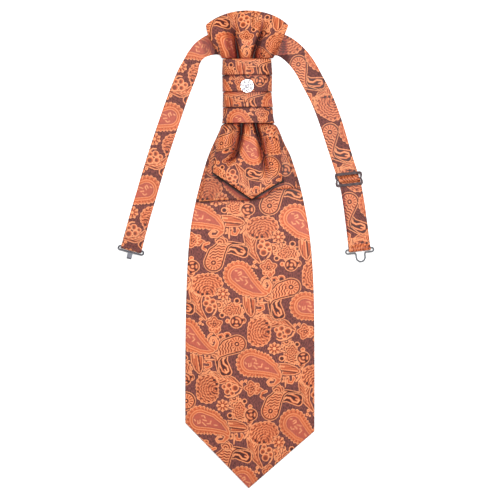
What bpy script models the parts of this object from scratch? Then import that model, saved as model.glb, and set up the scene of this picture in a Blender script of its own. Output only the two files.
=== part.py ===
"""A pre-tied silk cravat, laid flat and face up.

X runs to the right over the face, Y from the blade's point to the ruff, and Z up from the table.
Every length below is in millimetres, measured from the middle of the knot's lower edge, and a mesh is
scaled to metres when it is finished. One empty then moves the whole cravat so that the origin is at the
middle of its box, on the table.
"""

import bisect
import math
from collections import namedtuple

import bmesh
import bpy
from mathutils import Matrix, Vector

MM = 0.001
GAP = 0.3

# The box's middle, seen from the knot's lower edge.
BOX_MIDDLE_X = -2.28
BOX_MIDDLE_Y = -116.35

# The blade, a folded tie blade of jacquard silk over an interlining.
BLADE_THICK = 2.6
BLADE_CROWN = 0.8
BLADE_TOP_Y = 76.0
BLADE_CORNER_LEFT_Y = -277.0
BLADE_CORNER_RIGHT_Y = -284.5
BLADE_TIP_X = 0.2
BLADE_TIP_Y = -337.5
NECK_LIFT = 2.2

# The two short layers over it, and the ruff above the knot.
PLY = 1.2
UNDER_FLAP_TOP_Y = 28.0
UNDER_FLAP_INSET = 2.8
FLAP_TOP_Y = 28.0
FLAP_TIP_X = 3.0
FLAP_TIP_Y = -70.0
FLAP_CORNER_LEFT_Y = -45.0
FLAP_CORNER_RIGHT_Y = -53.0
RUFF_PLY = 2.0
RUFF_FOOT_Y = 31.0
RUFF_TOP_Y = 104.8
RUFF_ARC_RADIUS = 66.0

# The knot, four bands wrapped round the gathered cloth.
KNOT_HEIGHT = 13.8
KNOT_WAIST_Z = 4.6
BAND_WALL = 1.2
BAND_FLARE = 1.25
BAND_BACK_FLARE = 0.3
BAND_TUCK = 2.2
BAND_STATIONS = 40

# The neck band and its fittings.
STRAP_THICK = 1.2
FOLD_RUN = 5.0
WIRE = 1.6
SLIDE_THICK = 1.0
FITTING_REACH = 3.6

# The jewelled pin on the second band.
PIN_X = -1.2
PIN_Y = 34.3
PIN_RADIUS = 6.0
PIN_RING_STONES = 7

Outline = namedtuple("Outline", "y left right")
Height = namedtuple("Height", "y z")
Pleat = namedtuple("Pleat", "y x depth width")
Crossing = namedtuple("Crossing", "along height")
Breadth = namedtuple("Breadth", "y width")
Hem = namedtuple("Hem", "x y")

BLADE_OUTLINE = [
    Outline(76.0, -19.0, 17.0),
    Outline(60.0, -19.5, 17.5),
    Outline(30.0, -19.0, 18.0),
    Outline(4.0, -19.0, 19.0),
    Outline(1.0, -20.5, 20.5),
    Outline(-1.0, -24.5, 25.0),
    Outline(-6.0, -26.6, 28.2),
    Outline(-17.0, -31.8, 32.8),
    Outline(-28.0, -36.6, 38.3),
    Outline(-39.0, -40.3, 42.2),
    Outline(-56.0, -45.0, 47.5),
    Outline(-78.0, -50.2, 52.4),
    Outline(-100.0, -54.0, 56.2),
    Outline(-126.0, -56.2, 59.0),
    Outline(-165.0, -57.8, 60.7),
    Outline(-230.0, -58.6, 61.2),
    Outline(-340.0, -58.4, 61.0),
]
BLADE_UPPER = [
    Height(76.0, 3.8),
    Height(62.0, 4.2),
    Height(0.0, 4.4),
    Height(-8.0, 3.9),
    Height(-22.0, BLADE_THICK),
]
BLADE_LOWER = [
    Height(76.0, 1.6),
    Height(63.0, 1.9),
    Height(58.0, NECK_LIFT),
    Height(-1.0, NECK_LIFT),
    Height(-16.0, 0.0),
]

UNDER_FLAP_IN_KNOT = [
    Outline(28.0, -17.8, 17.8),
    Outline(4.0, -18.0, 18.0),
    Outline(0.5, -20.0, 20.0),
    Outline(-2.0, -24.0, 24.5),
]
UNDER_FLAP_HEM = [
    Hem(-45.0, -72.0),
    Hem(-20.0, -70.5),
    Hem(0.0, -71.0),
    Hem(14.0, -68.5),
    Hem(25.0, -61.0),
    Hem(45.0, -59.5),
]

FLAP_OUTLINE = [
    Outline(28.0, -17.0, 17.0),
    Outline(4.0, -17.5, 17.5),
    Outline(0.0, -19.5, 19.5),
    Outline(-3.0, -23.5, 24.5),
    Outline(-15.0, -28.3, 28.3),
    Outline(-30.0, -31.5, 30.6),
    Outline(-45.0, -33.0, 31.0),
    Outline(-75.0, -33.0, 30.6),
]
FLAP_HOLLOW = [
    Height(28.0, 2.2),
    Height(0.0, 2.2),
    Height(-8.0, 4.6),
    Height(-22.0, 6.6),
    Height(-45.0, 5.4),
    Height(-70.0, 2.6),
]
FLAP_PLEATS = [
    [
        Pleat(28.0, -6.5, 0.95, 2.4),
        Pleat(0.0, -6.6, 0.98, 2.4),
        Pleat(-25.0, -8.6, 0.75, 3.6),
        Pleat(-36.0, -10.5, 0.0, 5.0),
    ],
    [
        Pleat(28.0, 8.5, 0.95, 2.4),
        Pleat(0.0, 8.7, 0.98, 2.6),
        Pleat(-20.0, 11.3, 0.85, 2.8),
        Pleat(-36.0, 13.4, 0.55, 3.0),
        Pleat(-52.0, 18.5, 0.0, 4.0),
    ],
]

RUFF_OUTLINE = [
    Outline(31.0, -17.5, 15.5),
    Outline(59.6, -18.4, 16.4),
    Outline(60.4, -24.0, 22.2),
    Outline(62.0, -25.4, 23.6),
    Outline(65.5, -28.2, 26.6),
    Outline(77.0, -34.6, 31.2),
    Outline(84.0, -38.0, 34.2),
    Outline(92.5, -39.5, 37.3),
    Outline(105.0, -40.5, 39.4),
]
RUFF_REST = [
    Height(31.0, 5.6),
    Height(60.0, 5.4),
    Height(77.0, 5.0),
    Height(84.5, 2.4),
    Height(94.0, 0.8),
    Height(105.0, 0.4),
]
RUFF_HOLLOW = [
    Height(31.0, 2.2),
    Height(60.0, 2.2),
    Height(67.0, 4.6),
    Height(76.0, 6.0),
    Height(90.0, 5.0),
    Height(105.0, 2.6),
]
RUFF_PLEATS = [
    [
        Pleat(31.0, -8.6, 0.95, 2.2),
        Pleat(60.0, -9.3, 0.98, 2.2),
        Pleat(73.0, -11.2, 0.8, 2.8),
        Pleat(84.0, -12.1, 0.45, 3.6),
        Pleat(94.0, -13.0, 0.0, 5.0),
    ],
    [
        Pleat(31.0, 4.0, 0.95, 2.4),
        Pleat(61.0, 4.2, 0.98, 2.6),
        Pleat(71.0, 8.5, 0.9, 2.8),
        Pleat(81.0, 11.3, 0.6, 3.0),
        Pleat(94.0, 13.2, 0.0, 4.0),
    ],
]

KNOT_OUTLINE = [
    Outline(60.0, -24.2, 21.4),
    Outline(44.5, -24.5, 22.2),
    Outline(29.0, -23.9, 21.8),
    Outline(14.8, -23.9, 22.7),
    Outline(5.0, -23.9, 23.4),
    Outline(0.0, -24.4, 24.4),
]
BAND_EDGES = [59.8, 44.6, 29.2, 14.8, 0.0]

# The right strap's middle line as it goes under the slide's upper bar, over its middle bar and under its
# lower bar, with lengths down the strap from the middle bar.
SLIDE_CROSSING = [
    Crossing(-5.0, 0.6),
    Crossing(-3.6, 0.65),
    Crossing(-2.75, 1.45),
    Crossing(-2.15, 2.75),
    Crossing(-1.65, 3.8),
    Crossing(-0.9, 4.4),
    Crossing(0.0, 4.55),
    Crossing(0.9, 4.5),
    Crossing(1.7, 3.9),
    Crossing(2.3, 2.8),
    Crossing(3.0, 2.2),
    Crossing(3.8, 2.1),
    Crossing(6.4, 2.1),
]

# Each strap's middle line on the table, from behind the ruff to its fitting, and its width along Y.
LEFT_ROUTE = [
    (-1.0, 74.0), (-21.8, 74.0), (-33.3, 73.6), (-42.6, 69.6), (-48.8, 63.8), (-52.6, 57.0), (-55.8, 48.8),
    (-60.1, 38.6), (-66.5, 21.8), (-74.2, -0.4), (-81.6, -22.6), (-88.5, -44.8), (-95.0, -67.0),
    (-101.5, -89.2), (-108.9, -117.6),
]
LEFT_BREADTHS = [
    Breadth(74.2, 20.0),
    Breadth(70.0, 17.2),
    Breadth(63.8, 14.8),
    Breadth(57.0, 15.4),
    Breadth(48.8, 18.0),
    Breadth(30.0, 18.7),
    Breadth(-118.0, 19.4),
]
RIGHT_ROUTE = [
    (-0.7, 74.0), (19.8, 74.0), (31.8, 72.2), (42.5, 64.6), (51.2, 54.2), (58.8, 40.8), (68.5, 21.8),
    (76.8, -0.4), (83.7, -22.6), (89.6, -41.1), (92.9, -51.2), (95.4, -61.3), (97.3, -72.4), (98.9, -84.0),
    (101.0, -100.0), (103.0, -118.0),
]
RIGHT_BREADTHS = [
    Breadth(74.2, 20.6),
    Breadth(40.0, 20.8),
    Breadth(0.0, 20.8),
    Breadth(-30.0, 20.0),
    Breadth(-45.0, 19.7),
    Breadth(-60.0, 19.7),
    Breadth(-118.0, 20.4),
]
SLIDE_Y = -51.2
SLIDE_REACH = 5.2
SLIDE_TILT = -math.atan2(STRAP_THICK + GAP, 2 * SLIDE_REACH)
# The slide sits turned on its strap, and the strap crosses its bars along the turned line. The strap follows
# the turn within SKEW_FULL of the middle bar, and is straight again past SKEW_END.
SLIDE_TURN = math.radians(-10.0)
SKEW_FULL = 9.0
SKEW_END = 20.0
TURN_BACK = 15.0


def smooth(rows, column, at):
    """A column of a table at any y, on a smooth curve through its rows."""
    rows = sorted(rows, key=lambda row: row.y)
    ys = [row.y for row in rows]
    values = [getattr(row, column) for row in rows]
    if at <= ys[0]:
        return values[0]
    if at >= ys[-1]:
        return values[-1]

    def slope(k):
        a, b = max(k - 1, 0), min(k + 1, len(ys) - 1)
        return (values[b] - values[a]) / (ys[b] - ys[a])

    i = bisect.bisect_right(ys, at) - 1
    step = ys[i + 1] - ys[i]
    t = (at - ys[i]) / step
    rise = values[i + 1] - values[i]
    enter, leave = slope(i) * step, slope(i + 1) * step
    if rise * enter <= 0:
        enter = 0.0
    if rise * leave <= 0:
        leave = 0.0
    return (
        values[i]
        + enter * (t**3 - 2 * t**2 + t)
        + rise * (3 * t**2 - 2 * t**3)
        + leave * (t**3 - t**2)
    )


def material(name, colour, roughness, metallic=0.0):
    """A plain finish for a solid."""
    made = bpy.data.materials.get(name)
    if made is None:
        made = bpy.data.materials.new(name)
        made.use_nodes = True
        shader = made.node_tree.nodes["Principled BSDF"]
        shader.inputs["Base Color"].default_value = (*colour, 1.0)
        shader.inputs["Roughness"].default_value = roughness
        shader.inputs["Metallic"].default_value = metallic
    return made


def silk():
    return material("paisley_silk", (0.78, 0.20, 0.06), 0.45)


def steel():
    return material("nickelled_steel", (0.42, 0.43, 0.45), 0.3, 1.0)


def enamel():
    return material("enamelled_steel", (0.09, 0.06, 0.07), 0.4, 0.6)


def crystal():
    return material("crystal", (0.92, 0.93, 0.95), 0.05)


def add_object(name, data, finish, layout, collection):
    """Links a finished mesh or curve as one named piece under the layout empty."""
    data.materials.append(finish)
    piece = bpy.data.objects.new(name, data)
    collection.objects.link(piece)
    piece.parent = layout
    return piece


def finish_mesh(name, bm, finish, layout, collection):
    """Closes a bmesh, scales it from millimetres and makes it a piece."""
    bmesh.ops.remove_doubles(bm, verts=bm.verts[:], dist=0.001)
    bmesh.ops.recalc_face_normals(bm, faces=bm.faces[:])
    bm.transform(Matrix.Scale(MM, 4))
    mesh = bpy.data.meshes.new(name)
    bm.to_mesh(mesh)
    bm.free()
    mesh.shade_smooth()
    mesh.set_sharp_from_angle(angle=math.radians(50))
    return add_object(name, mesh, finish, layout, collection)


def cloth_wall(name, across, along, upper, lower, finish, layout, collection):
    """A wall of cloth. A flat grid becomes its upper face at upper(u, v) and a copy its lower face at
    lower(u, v), and a rim joins the two. u runs across the cloth and v along it, from 0 to 1."""
    bm = bmesh.new()
    bmesh.ops.create_grid(bm, x_segments=across, y_segments=along, size=0.5)
    copy = bmesh.ops.duplicate(bm, geom=bm.verts[:] + bm.edges[:] + bm.faces[:])
    below = {g for g in copy["geom"] if isinstance(g, bmesh.types.BMVert)}
    bmesh.ops.reverse_faces(bm, faces=[g for g in copy["geom"] if isinstance(g, bmesh.types.BMFace)])
    bmesh.ops.bridge_loops(bm, edges=[e for e in bm.edges if e.is_boundary])
    for vert in bm.verts:
        place = lower if vert in below else upper
        vert.co = place(vert.co.x + 0.5, vert.co.y + 0.5)
    return finish_mesh(name, bm, finish, layout, collection)


def spread(stretches):
    """Row places from (start, end, rows) stretches, each evenly divided, with no shared end repeated."""
    places = [stretches[0][0]]
    for start, end, rows in stretches:
        places += [start + (end - start) * (k + 1) / rows for k in range(rows)]
    return places


def panel_points(places, outline, hem_shape, hem_start, tip_share=0.5):
    """How a panel's grid lies in plan: a function of u and v that gives x, y and the share across, -1 to 1.
    Rows are level down to hem_start, and from there each comes closer to the hem's own shape."""
    last = places[-1]

    def point(u, v):
        u = u * 2 * tip_share if u < 0.5 else tip_share + (2 * u - 1) * (1 - tip_share)
        row = places[min(int(round(v * (len(places) - 1))), len(places) - 1)]
        pull = min(max((row - hem_start) / (last - hem_start), 0.0), 1.0)
        left, right = smooth(outline, "left", last), smooth(outline, "right", last)
        y = row + pull * hem_shape(left + u * (right - left))
        left, right = smooth(outline, "left", y), smooth(outline, "right", y)
        return left + u * (right - left), y, 2 * u - 1

    return point


def blade_upper_z(x, y):
    """The height of the blade's upper face, which what lies on it is made from."""
    left, right = smooth(BLADE_OUTLINE, "left", y), smooth(BLADE_OUTLINE, "right", y)
    share = (2 * x - left - right) / (right - left)
    return smooth(BLADE_UPPER, "z", y) + BLADE_CROWN * max(0.0, 1 - share * share)


def make_blade(layout, collection):
    """The long pointed front, from the neck band behind the ruff, through the knot, to the point."""
    places = spread([
        (BLADE_TOP_Y, 60.0, 2), (60.0, 5.0, 6), (5.0, -2.0, 5), (-2.0, -40.0, 8),
        (-40.0, -200.0, 14), (-200.0, BLADE_TIP_Y, 14),
    ])
    left, right = BLADE_OUTLINE[-1].left, BLADE_OUTLINE[-1].right
    tip_share = (BLADE_TIP_X - left) / (right - left)

    def hem(x):
        if x < BLADE_TIP_X:
            return (BLADE_CORNER_LEFT_Y - BLADE_TIP_Y) * (BLADE_TIP_X - x) / (BLADE_TIP_X - left)
        return (BLADE_CORNER_RIGHT_Y - BLADE_TIP_Y) * (x - BLADE_TIP_X) / (right - BLADE_TIP_X)

    plan = panel_points(places, BLADE_OUTLINE, hem, -200.0, tip_share)

    def upper(u, v):
        x, y, _ = plan(u, v)
        rim = 0.5 if u in (0.0, 1.0) or v == 1.0 else 0.0
        return Vector((x, y, blade_upper_z(x, y) - rim))

    def lower(u, v):
        x, y, _ = plan(u, v)
        return Vector((x, y, smooth(BLADE_LOWER, "z", y)))

    cloth_wall("blade", 14, len(places) - 1, upper, lower, silk(), layout, collection)


def under_flap_left(y):
    inset = UNDER_FLAP_INSET * min(max(-y / 35.0, 0.0), 1.0)
    return smooth(BLADE_OUTLINE, "left", y) + inset


def under_flap_right(y):
    inset = UNDER_FLAP_INSET * min(max(-y / 35.0, 0.0), 1.0)
    return smooth(BLADE_OUTLINE, "right", y) - inset


def under_flap_upper_z(x, y):
    return blade_upper_z(x, y) + GAP + PLY


def make_under_flap(layout, collection):
    """The short square-ended layer between the blade and the flap."""
    places = spread([(UNDER_FLAP_TOP_Y, 5.0, 2), (5.0, -2.0, 4), (-2.0, -70.0, 12)])
    outline = UNDER_FLAP_IN_KNOT + [
        Outline(y, under_flap_left(y), under_flap_right(y)) for y in range(-8, -80, -8)
    ]

    def hem(x):
        xs = [row.x for row in UNDER_FLAP_HEM]
        i = min(max(bisect.bisect_right(xs, x) - 1, 0), len(xs) - 2)
        before, after = UNDER_FLAP_HEM[i], UNDER_FLAP_HEM[i + 1]
        t = min(max((x - before.x) / (after.x - before.x), 0.0), 1.0)
        return before.y + t * (after.y - before.y) - places[-1]

    plan = panel_points(places, outline, hem, -20.0)

    def upper(u, v):
        x, y, _ = plan(u, v)
        return Vector((x, y, under_flap_upper_z(x, y)))

    def lower(u, v):
        x, y, _ = plan(u, v)
        return Vector((x, y, blade_upper_z(x, y) + GAP))

    cloth_wall("under_flap", 14, len(places) - 1, upper, lower, silk(), layout, collection)


def pleated(hollow, pleats, x, y):
    """The hollow under a puffed panel, pinched in at each pleat's line."""
    for pleat in pleats:
        middle, depth, width = (smooth(pleat, c, y) for c in ("x", "depth", "width"))
        hollow *= 1 - depth * math.exp(-(((x - middle) / width) ** 2))
    return hollow


def make_flap(layout, collection):
    """The short pointed apron on top, puffed out, with a deep pleat on each side of its middle."""
    places = spread([(FLAP_TOP_Y, 3.0, 3), (3.0, -3.0, 4), (-3.0, FLAP_TIP_Y, 17)])
    left, right = FLAP_OUTLINE[-1].left, FLAP_OUTLINE[-1].right
    tip_share = (FLAP_TIP_X - left) / (right - left)

    def hem(x):
        if x < FLAP_TIP_X:
            return (FLAP_CORNER_LEFT_Y - FLAP_TIP_Y) * (FLAP_TIP_X - x) / (FLAP_TIP_X - left)
        fall = (x - FLAP_TIP_X) / (right - FLAP_TIP_X)
        return (FLAP_CORNER_RIGHT_Y - FLAP_TIP_Y) * fall**0.9

    plan = panel_points(places, FLAP_OUTLINE, hem, -8.0, tip_share)

    def lower(u, v):
        x, y, share = plan(u, v)
        hollow = smooth(FLAP_HOLLOW, "z", y) * max(0.0, 1 - abs(share) ** 3)
        return Vector((x, y, under_flap_upper_z(x, y) + GAP + pleated(hollow, FLAP_PLEATS, x, y)))

    def upper(u, v):
        return lower(u, v) + Vector((0.0, 0.0, PLY + 0.3))

    cloth_wall("flap", 30, len(places) - 1, upper, lower, silk(), layout, collection)


def make_ruff(layout, collection):
    """The pleated ruff above the knot, fanned out over the neck band to an arched upper edge."""
    places = spread([(RUFF_FOOT_Y, 57.0, 2), (57.0, 59.6, 2), (59.6, 60.4, 1), (60.4, RUFF_TOP_Y, 15)])

    def arch(x):
        reach = min(abs(x + 0.8), RUFF_ARC_RADIUS - 1)
        return math.sqrt(RUFF_ARC_RADIUS**2 - reach**2) - RUFF_ARC_RADIUS

    plan = panel_points(places, RUFF_OUTLINE, arch, 66.0)

    def lower(u, v):
        x, y, share = plan(u, v)
        hollow = smooth(RUFF_HOLLOW, "z", y) * max(0.08, 1 - abs(share) ** 3)
        return Vector((x, y, smooth(RUFF_REST, "z", y) + pleated(hollow, RUFF_PLEATS, x, y)))

    def upper(u, v):
        return lower(u, v) + Vector((0.0, 0.0, RUFF_PLY))

    cloth_wall("ruff", 30, len(places) - 1, upper, lower, silk(), layout, collection)


def knot_point(angle, y, out):
    """A point round the knot, out millimetres outside the gathered cloth that the bands hold."""
    left, right = smooth(KNOT_OUTLINE, "left", y), smooth(KNOT_OUTLINE, "right", y)
    inside = (right - left) / 2 - BAND_WALL - BAND_BACK_FLARE
    c, s = math.cos(angle), math.sin(angle)
    if s >= 0:
        power, rise = 2.5, KNOT_HEIGHT - BAND_WALL - BAND_FLARE - KNOT_WAIST_Z
    else:
        power, rise = 5.0, KNOT_WAIST_Z - BAND_WALL - BAND_BACK_FLARE
    x = math.copysign(abs(c) ** (2 / power), c)
    z = math.copysign(abs(s) ** (2 / power), s)
    return Vector(((left + right) / 2 + (inside + out) * x, y, KNOT_WAIST_Z + (rise + out) * z))


def band_front(angle):
    """1 over the front of the knot, where a band's edge stands proud, and 0 at its sides and back."""
    s = math.sin(angle)
    return min(max((s - 0.35) / 0.3, 0.0), 1.0)


def make_band(number, layout, collection):
    """One wrap of the knot, its upper edge tucked under the wrap above and its lower edge standing proud."""
    top, bottom = BAND_EDGES[number], BAND_EDGES[number + 1]
    bm = bmesh.new()
    profile_points = 10
    bmesh.ops.create_grid(bm, x_segments=BAND_STATIONS, y_segments=profile_points, size=0.5)
    for vert in bm.verts:
        angle = 2 * math.pi * (vert.co.x + 0.5)
        front = band_front(angle)
        flare = BAND_BACK_FLARE + (BAND_FLARE - BAND_BACK_FLARE) * front
        tuck = BAND_TUCK * (1.0 if front > 0.999 and number > 0 else 0.0) - GAP / 2
        wall = BAND_WALL
        profile = [
            (top + tuck, wall * 0.75),
            (top - 1.0, wall),
            ((top + bottom) / 2, wall + 0.25 * flare),
            (bottom + 3.2, wall + 0.8 * flare),
            (bottom + 0.8, wall + flare),
            (bottom + GAP / 2, 0.5 * wall + flare),
            (bottom + 0.8, flare),
            (bottom + 2.8, flare),
            (bottom + 4.6, 0.0),
            (top + tuck, 0.0),
        ]
        y, out = profile[int(round((vert.co.y + 0.5) * profile_points)) % profile_points]
        vert.co = knot_point(angle, y, out)
    finish_mesh(f"knot_band_{number + 1}", bm, silk(), layout, collection)


def plan_curve(route):
    """A smooth curve through a route's points, as a function of the length along it, and its whole length."""
    points = [Vector(p) for p in route]
    fine = []
    for i in range(len(points) - 1):
        before = points[max(i - 1, 0)]
        a, b = points[i], points[i + 1]
        after = points[min(i + 2, len(points) - 1)]
        for k in range(12):
            t = k / 12
            fine.append(
                a * (2 * t**3 - 3 * t**2 + 1)
                + b * (3 * t**2 - 2 * t**3)
                + (b - before) / 2 * (t**3 - 2 * t**2 + t)
                + (after - a) / 2 * (t**3 - t**2)
            )
    fine.append(points[-1])
    lengths = [0.0]
    for a, b in zip(fine, fine[1:]):
        lengths.append(lengths[-1] + (b - a).length)

    def at(length):
        i = min(max(bisect.bisect_right(lengths, length) - 1, 0), len(fine) - 2)
        heading = (fine[i + 1] - fine[i]).normalized()
        return fine[i] + heading * (length - lengths[i]), heading

    return at, lengths[-1]


def length_at_y(at, total, y):
    """The length along a curve where it first comes down to y."""
    steps = 2000
    return next(total * k / steps for k in range(steps) if at(total * k / steps)[0].y <= y and k > steps // 4)


def make_strap(name, at, side, breadths, layout, collection, slide=None):
    """A strap of the neck band that follows side, its (length along the curve, height) points. slide is the
    length down to the turned slide that it runs through."""
    rows = [Vector(p) for p in side]

    def skew(length):
        if slide is None:
            return 0.0
        share = min(max((SKEW_END - abs(length - slide)) / (SKEW_END - SKEW_FULL), 0.0), 1.0)
        return math.tan(SLIDE_TURN) * share**2 * (3 - 2 * share)

    def frame(v):
        i = min(int(round(v * (len(rows) - 1))), len(rows) - 1)
        ahead, behind = rows[min(i + 1, len(rows) - 1)], rows[max(i - 1, 0)]
        run = (ahead - behind).normalized()
        return rows[i], Vector((-run.y, run.x))

    def face(u, v, lift):
        middle, normal = frame(v)
        length, height = middle + normal * lift
        across = (u - 0.5) * smooth(breadths, "width", at(length)[0].y)
        ground, heading = at(length + skew(length) * across)
        sideways = Vector((heading.y, -heading.x)) * across
        return Vector((ground.x + sideways.x, ground.y + sideways.y, height))

    half = STRAP_THICK / 2
    cloth_wall(
        name, 4, len(rows) - 1,
        lambda u, v: face(u, v, half), lambda u, v: face(u, v, -half),
        silk(), layout, collection,
    )


def level_run(start, end, low, high, spacing):
    """Side points of a straight or gently rising stretch."""
    rows = max(2, round(abs(end - start) / spacing))
    ease = [(1 - math.cos(math.pi * k / rows)) / 2 for k in range(rows + 1)]
    return [(start + (end - start) * k / rows, low + (high - low) * ease[k]) for k in range(rows + 1)]


def fold_round(length, height, radius):
    """Side points of the strap's turn round a wire, from over it to under it."""
    turns = [math.pi * k / 8 for k in range(1, 8)]
    return [(length + radius * math.sin(a), height + radius * math.cos(a)) for a in turns]


def make_neck_band(layout, collection):
    """The neck band: a left strap turned round the hook's bar, and a right one that runs through the slide,
    round the eye's wire and back behind itself to the slide. Returns where the fittings sit."""
    half = STRAP_THICK / 2
    turn = WIRE / 2 + GAP + half
    wire_z = half + turn
    front_z = STRAP_THICK + GAP + half

    at, total = plan_curve(LEFT_ROUTE)
    wire = total - turn - half
    side = level_run(0.0, total - TURN_BACK - 14.0, half, half, 7.0)
    side += level_run(total - TURN_BACK - 14.0, wire - FOLD_RUN, half, front_z, 4.0)[1:]
    side += level_run(wire - FOLD_RUN, wire, front_z, wire_z + turn, 1.0)[1:]
    side += fold_round(wire, wire_z, turn)
    side += level_run(wire, total - TURN_BACK, half, half, 4.0)
    make_strap("neck_band_left", at, side, LEFT_BREADTHS, layout, collection)
    hook_place = (*at(wire), wire_z)

    at, total = plan_curve(RIGHT_ROUTE)
    wire = total - turn - half
    slide = length_at_y(at, total, SLIDE_Y)
    side = level_run(0.0, slide - SLIDE_REACH - 1.5, half, half, 7.0)
    side += [(slide + row.along, row.height) for row in SLIDE_CROSSING]
    side += level_run(slide + SLIDE_REACH + 4.0, wire - FOLD_RUN, front_z, front_z, 6.0)
    side += level_run(wire - FOLD_RUN, wire, front_z, wire_z + turn, 1.0)[1:]
    side += fold_round(wire, wire_z, turn)
    side += level_run(wire, slide + 1.5, half, half, 6.0)
    make_strap("neck_band_right", at, side, RIGHT_BREADTHS, layout, collection, slide)
    return hook_place, (*at(wire), wire_z), at(slide)


def wire_z_of_slide(along):
    """The height of the slide's middle line, along millimetres down the strap from its middle bar."""
    front_z = STRAP_THICK + GAP + STRAP_THICK / 2
    top = STRAP_THICK + GAP + SLIDE_THICK / 2
    bottom = front_z + STRAP_THICK / 2 + GAP + SLIDE_THICK / 2
    return (top + bottom) / 2 + (bottom - top) / 2 * along / SLIDE_REACH


def place_flat(piece, ground, heading, height, tilt=0.0):
    """Turns a fitting so that its own -Y runs down the strap, and sets it on its place."""
    turn = math.atan2(heading.y, heading.x) + math.pi / 2
    piece.matrix_local = (
        Matrix.Translation(Vector((ground.x, ground.y, height)) * MM)
        @ Matrix.Rotation(turn, 4, "Z")
        @ Matrix.Rotation(tilt, 4, "X")
    )


def poly_curve(name, loops, depth_mm, dimensions="3D", extrude_mm=0.0):
    """A curve of closed loops, each a list of (x, y) or (x, y, z) in millimetres."""
    curve = bpy.data.curves.new(name, "CURVE")
    curve.dimensions = dimensions
    curve.fill_mode = "BOTH" if dimensions == "2D" else "FULL"
    curve.bevel_depth = depth_mm * MM
    curve.bevel_resolution = 2
    curve.extrude = extrude_mm * MM
    for loop in loops:
        spline = curve.splines.new("POLY")
        spline.points.add(len(loop) - 1)
        for point, place in zip(spline.points, loop):
            point.co = (*[c * MM for c in place], *([0.0] * (3 - len(place))), 1.0)
        spline.use_cyclic_u = True
    return curve


def arc(cx, cy, radius, start, end, steps):
    """Points of an arc, with the angles in degrees."""
    angles = [math.radians(start + (end - start) * k / steps) for k in range(steps + 1)]
    return [(cx + radius * math.cos(a), cy + radius * math.sin(a)) for a in angles]


def make_eye(place, layout, collection):
    """The wire eye: a long loop through the strap's fold, with a U bent out of its free side for the hook."""
    half, low, high = 13.0, -FITTING_REACH, 0.0
    round_off = (high - low) / 2
    middle = (high + low) / 2
    loop = arc(half - round_off, middle, round_off, 90, -90, 8)
    loop += arc(6.0, low - 1.6, 1.6, 90, 180, 4)
    loop += arc(0.3, low - 4.2, 4.1, 0, -180, 10)
    loop += arc(-5.4, low - 1.6, 1.6, 0, 90, 4)
    loop += arc(-half + round_off, middle, round_off, -90, -270, 8)
    ground, heading, height = place
    curve = poly_curve("eye", [loop], WIRE / 2)
    piece = add_object("eye", curve, steel(), layout, collection)
    place_flat(piece, ground, heading, height)


def make_hook(place, layout, collection):
    """The hook: a long loop through the strap's fold and a tongue bent back under itself, in one piece."""
    half, low, high = 12.0, -FITTING_REACH, 0.0
    round_off = (high - low) / 2
    middle = (high + low) / 2
    loop = arc(half - round_off, middle, round_off, 90, -90, 8)
    loop += arc(-half + round_off, middle, round_off, -90, -270, 8)
    ground, heading, height = place
    ring = add_object("hook", poly_curve("hook", [loop], WIRE / 2), steel(), layout, collection)
    mesh = bpy.data.meshes.new_from_object(ring.evaluated_get(bpy.context.evaluated_depsgraph_get()))
    bpy.data.objects.remove(ring)
    bm = bmesh.new()
    bm.from_mesh(mesh)
    bpy.data.meshes.remove(mesh)
    bmesh.ops.remove_doubles(bm, verts=bm.verts[:], dist=0.00001)
    bm.transform(Matrix.Scale(1 / MM, 4))
    tongue_width, tongue_thick, reach = 4.6, 0.7, 8.8
    inner = 0.55
    outline = [(low + 0.4, tongue_thick / 2), (low + 0.4, -tongue_thick / 2)]
    outline += [(-reach, -tongue_thick / 2)]
    turn_back = arc(-reach, -tongue_thick / 2 - inner, inner, 90, 270, 6)
    outline += turn_back + [(-reach + 2.6, -tongue_thick / 2 - 2 * inner)]
    outline += [(-reach + 2.6, -1.5 * tongue_thick - 2 * inner)]
    outline += arc(-reach, -tongue_thick / 2 - inner, inner + tongue_thick, 270, 90, 8)
    tongue = bmesh.new()
    side = [tongue.verts.new((-tongue_width / 2, y, z)) for y, z in outline]
    face = tongue.faces.new(side)
    pushed = bmesh.ops.extrude_face_region(tongue, geom=[face])
    far_side = [g for g in pushed["geom"] if isinstance(g, bmesh.types.BMVert)]
    bmesh.ops.translate(tongue, vec=(tongue_width, 0, 0), verts=far_side)
    bmesh.ops.remove_doubles(tongue, verts=tongue.verts[:], dist=0.001)
    ring = finish_mesh("hook", bm, steel(), layout, collection)
    cutter = finish_mesh("hook_tongue_shape", tongue, steel(), layout, collection)
    join = ring.modifiers.new("tongue", "BOOLEAN")
    join.operation = "UNION"
    join.object = cutter
    cutter.hide_render = True
    cutter.display_type = "WIRE"
    shapes = bpy.data.collections["joined_shapes"]
    collection.objects.unlink(cutter)
    shapes.objects.link(cutter)
    for piece in (ring, cutter):
        place_flat(piece, ground, heading, height)


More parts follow.
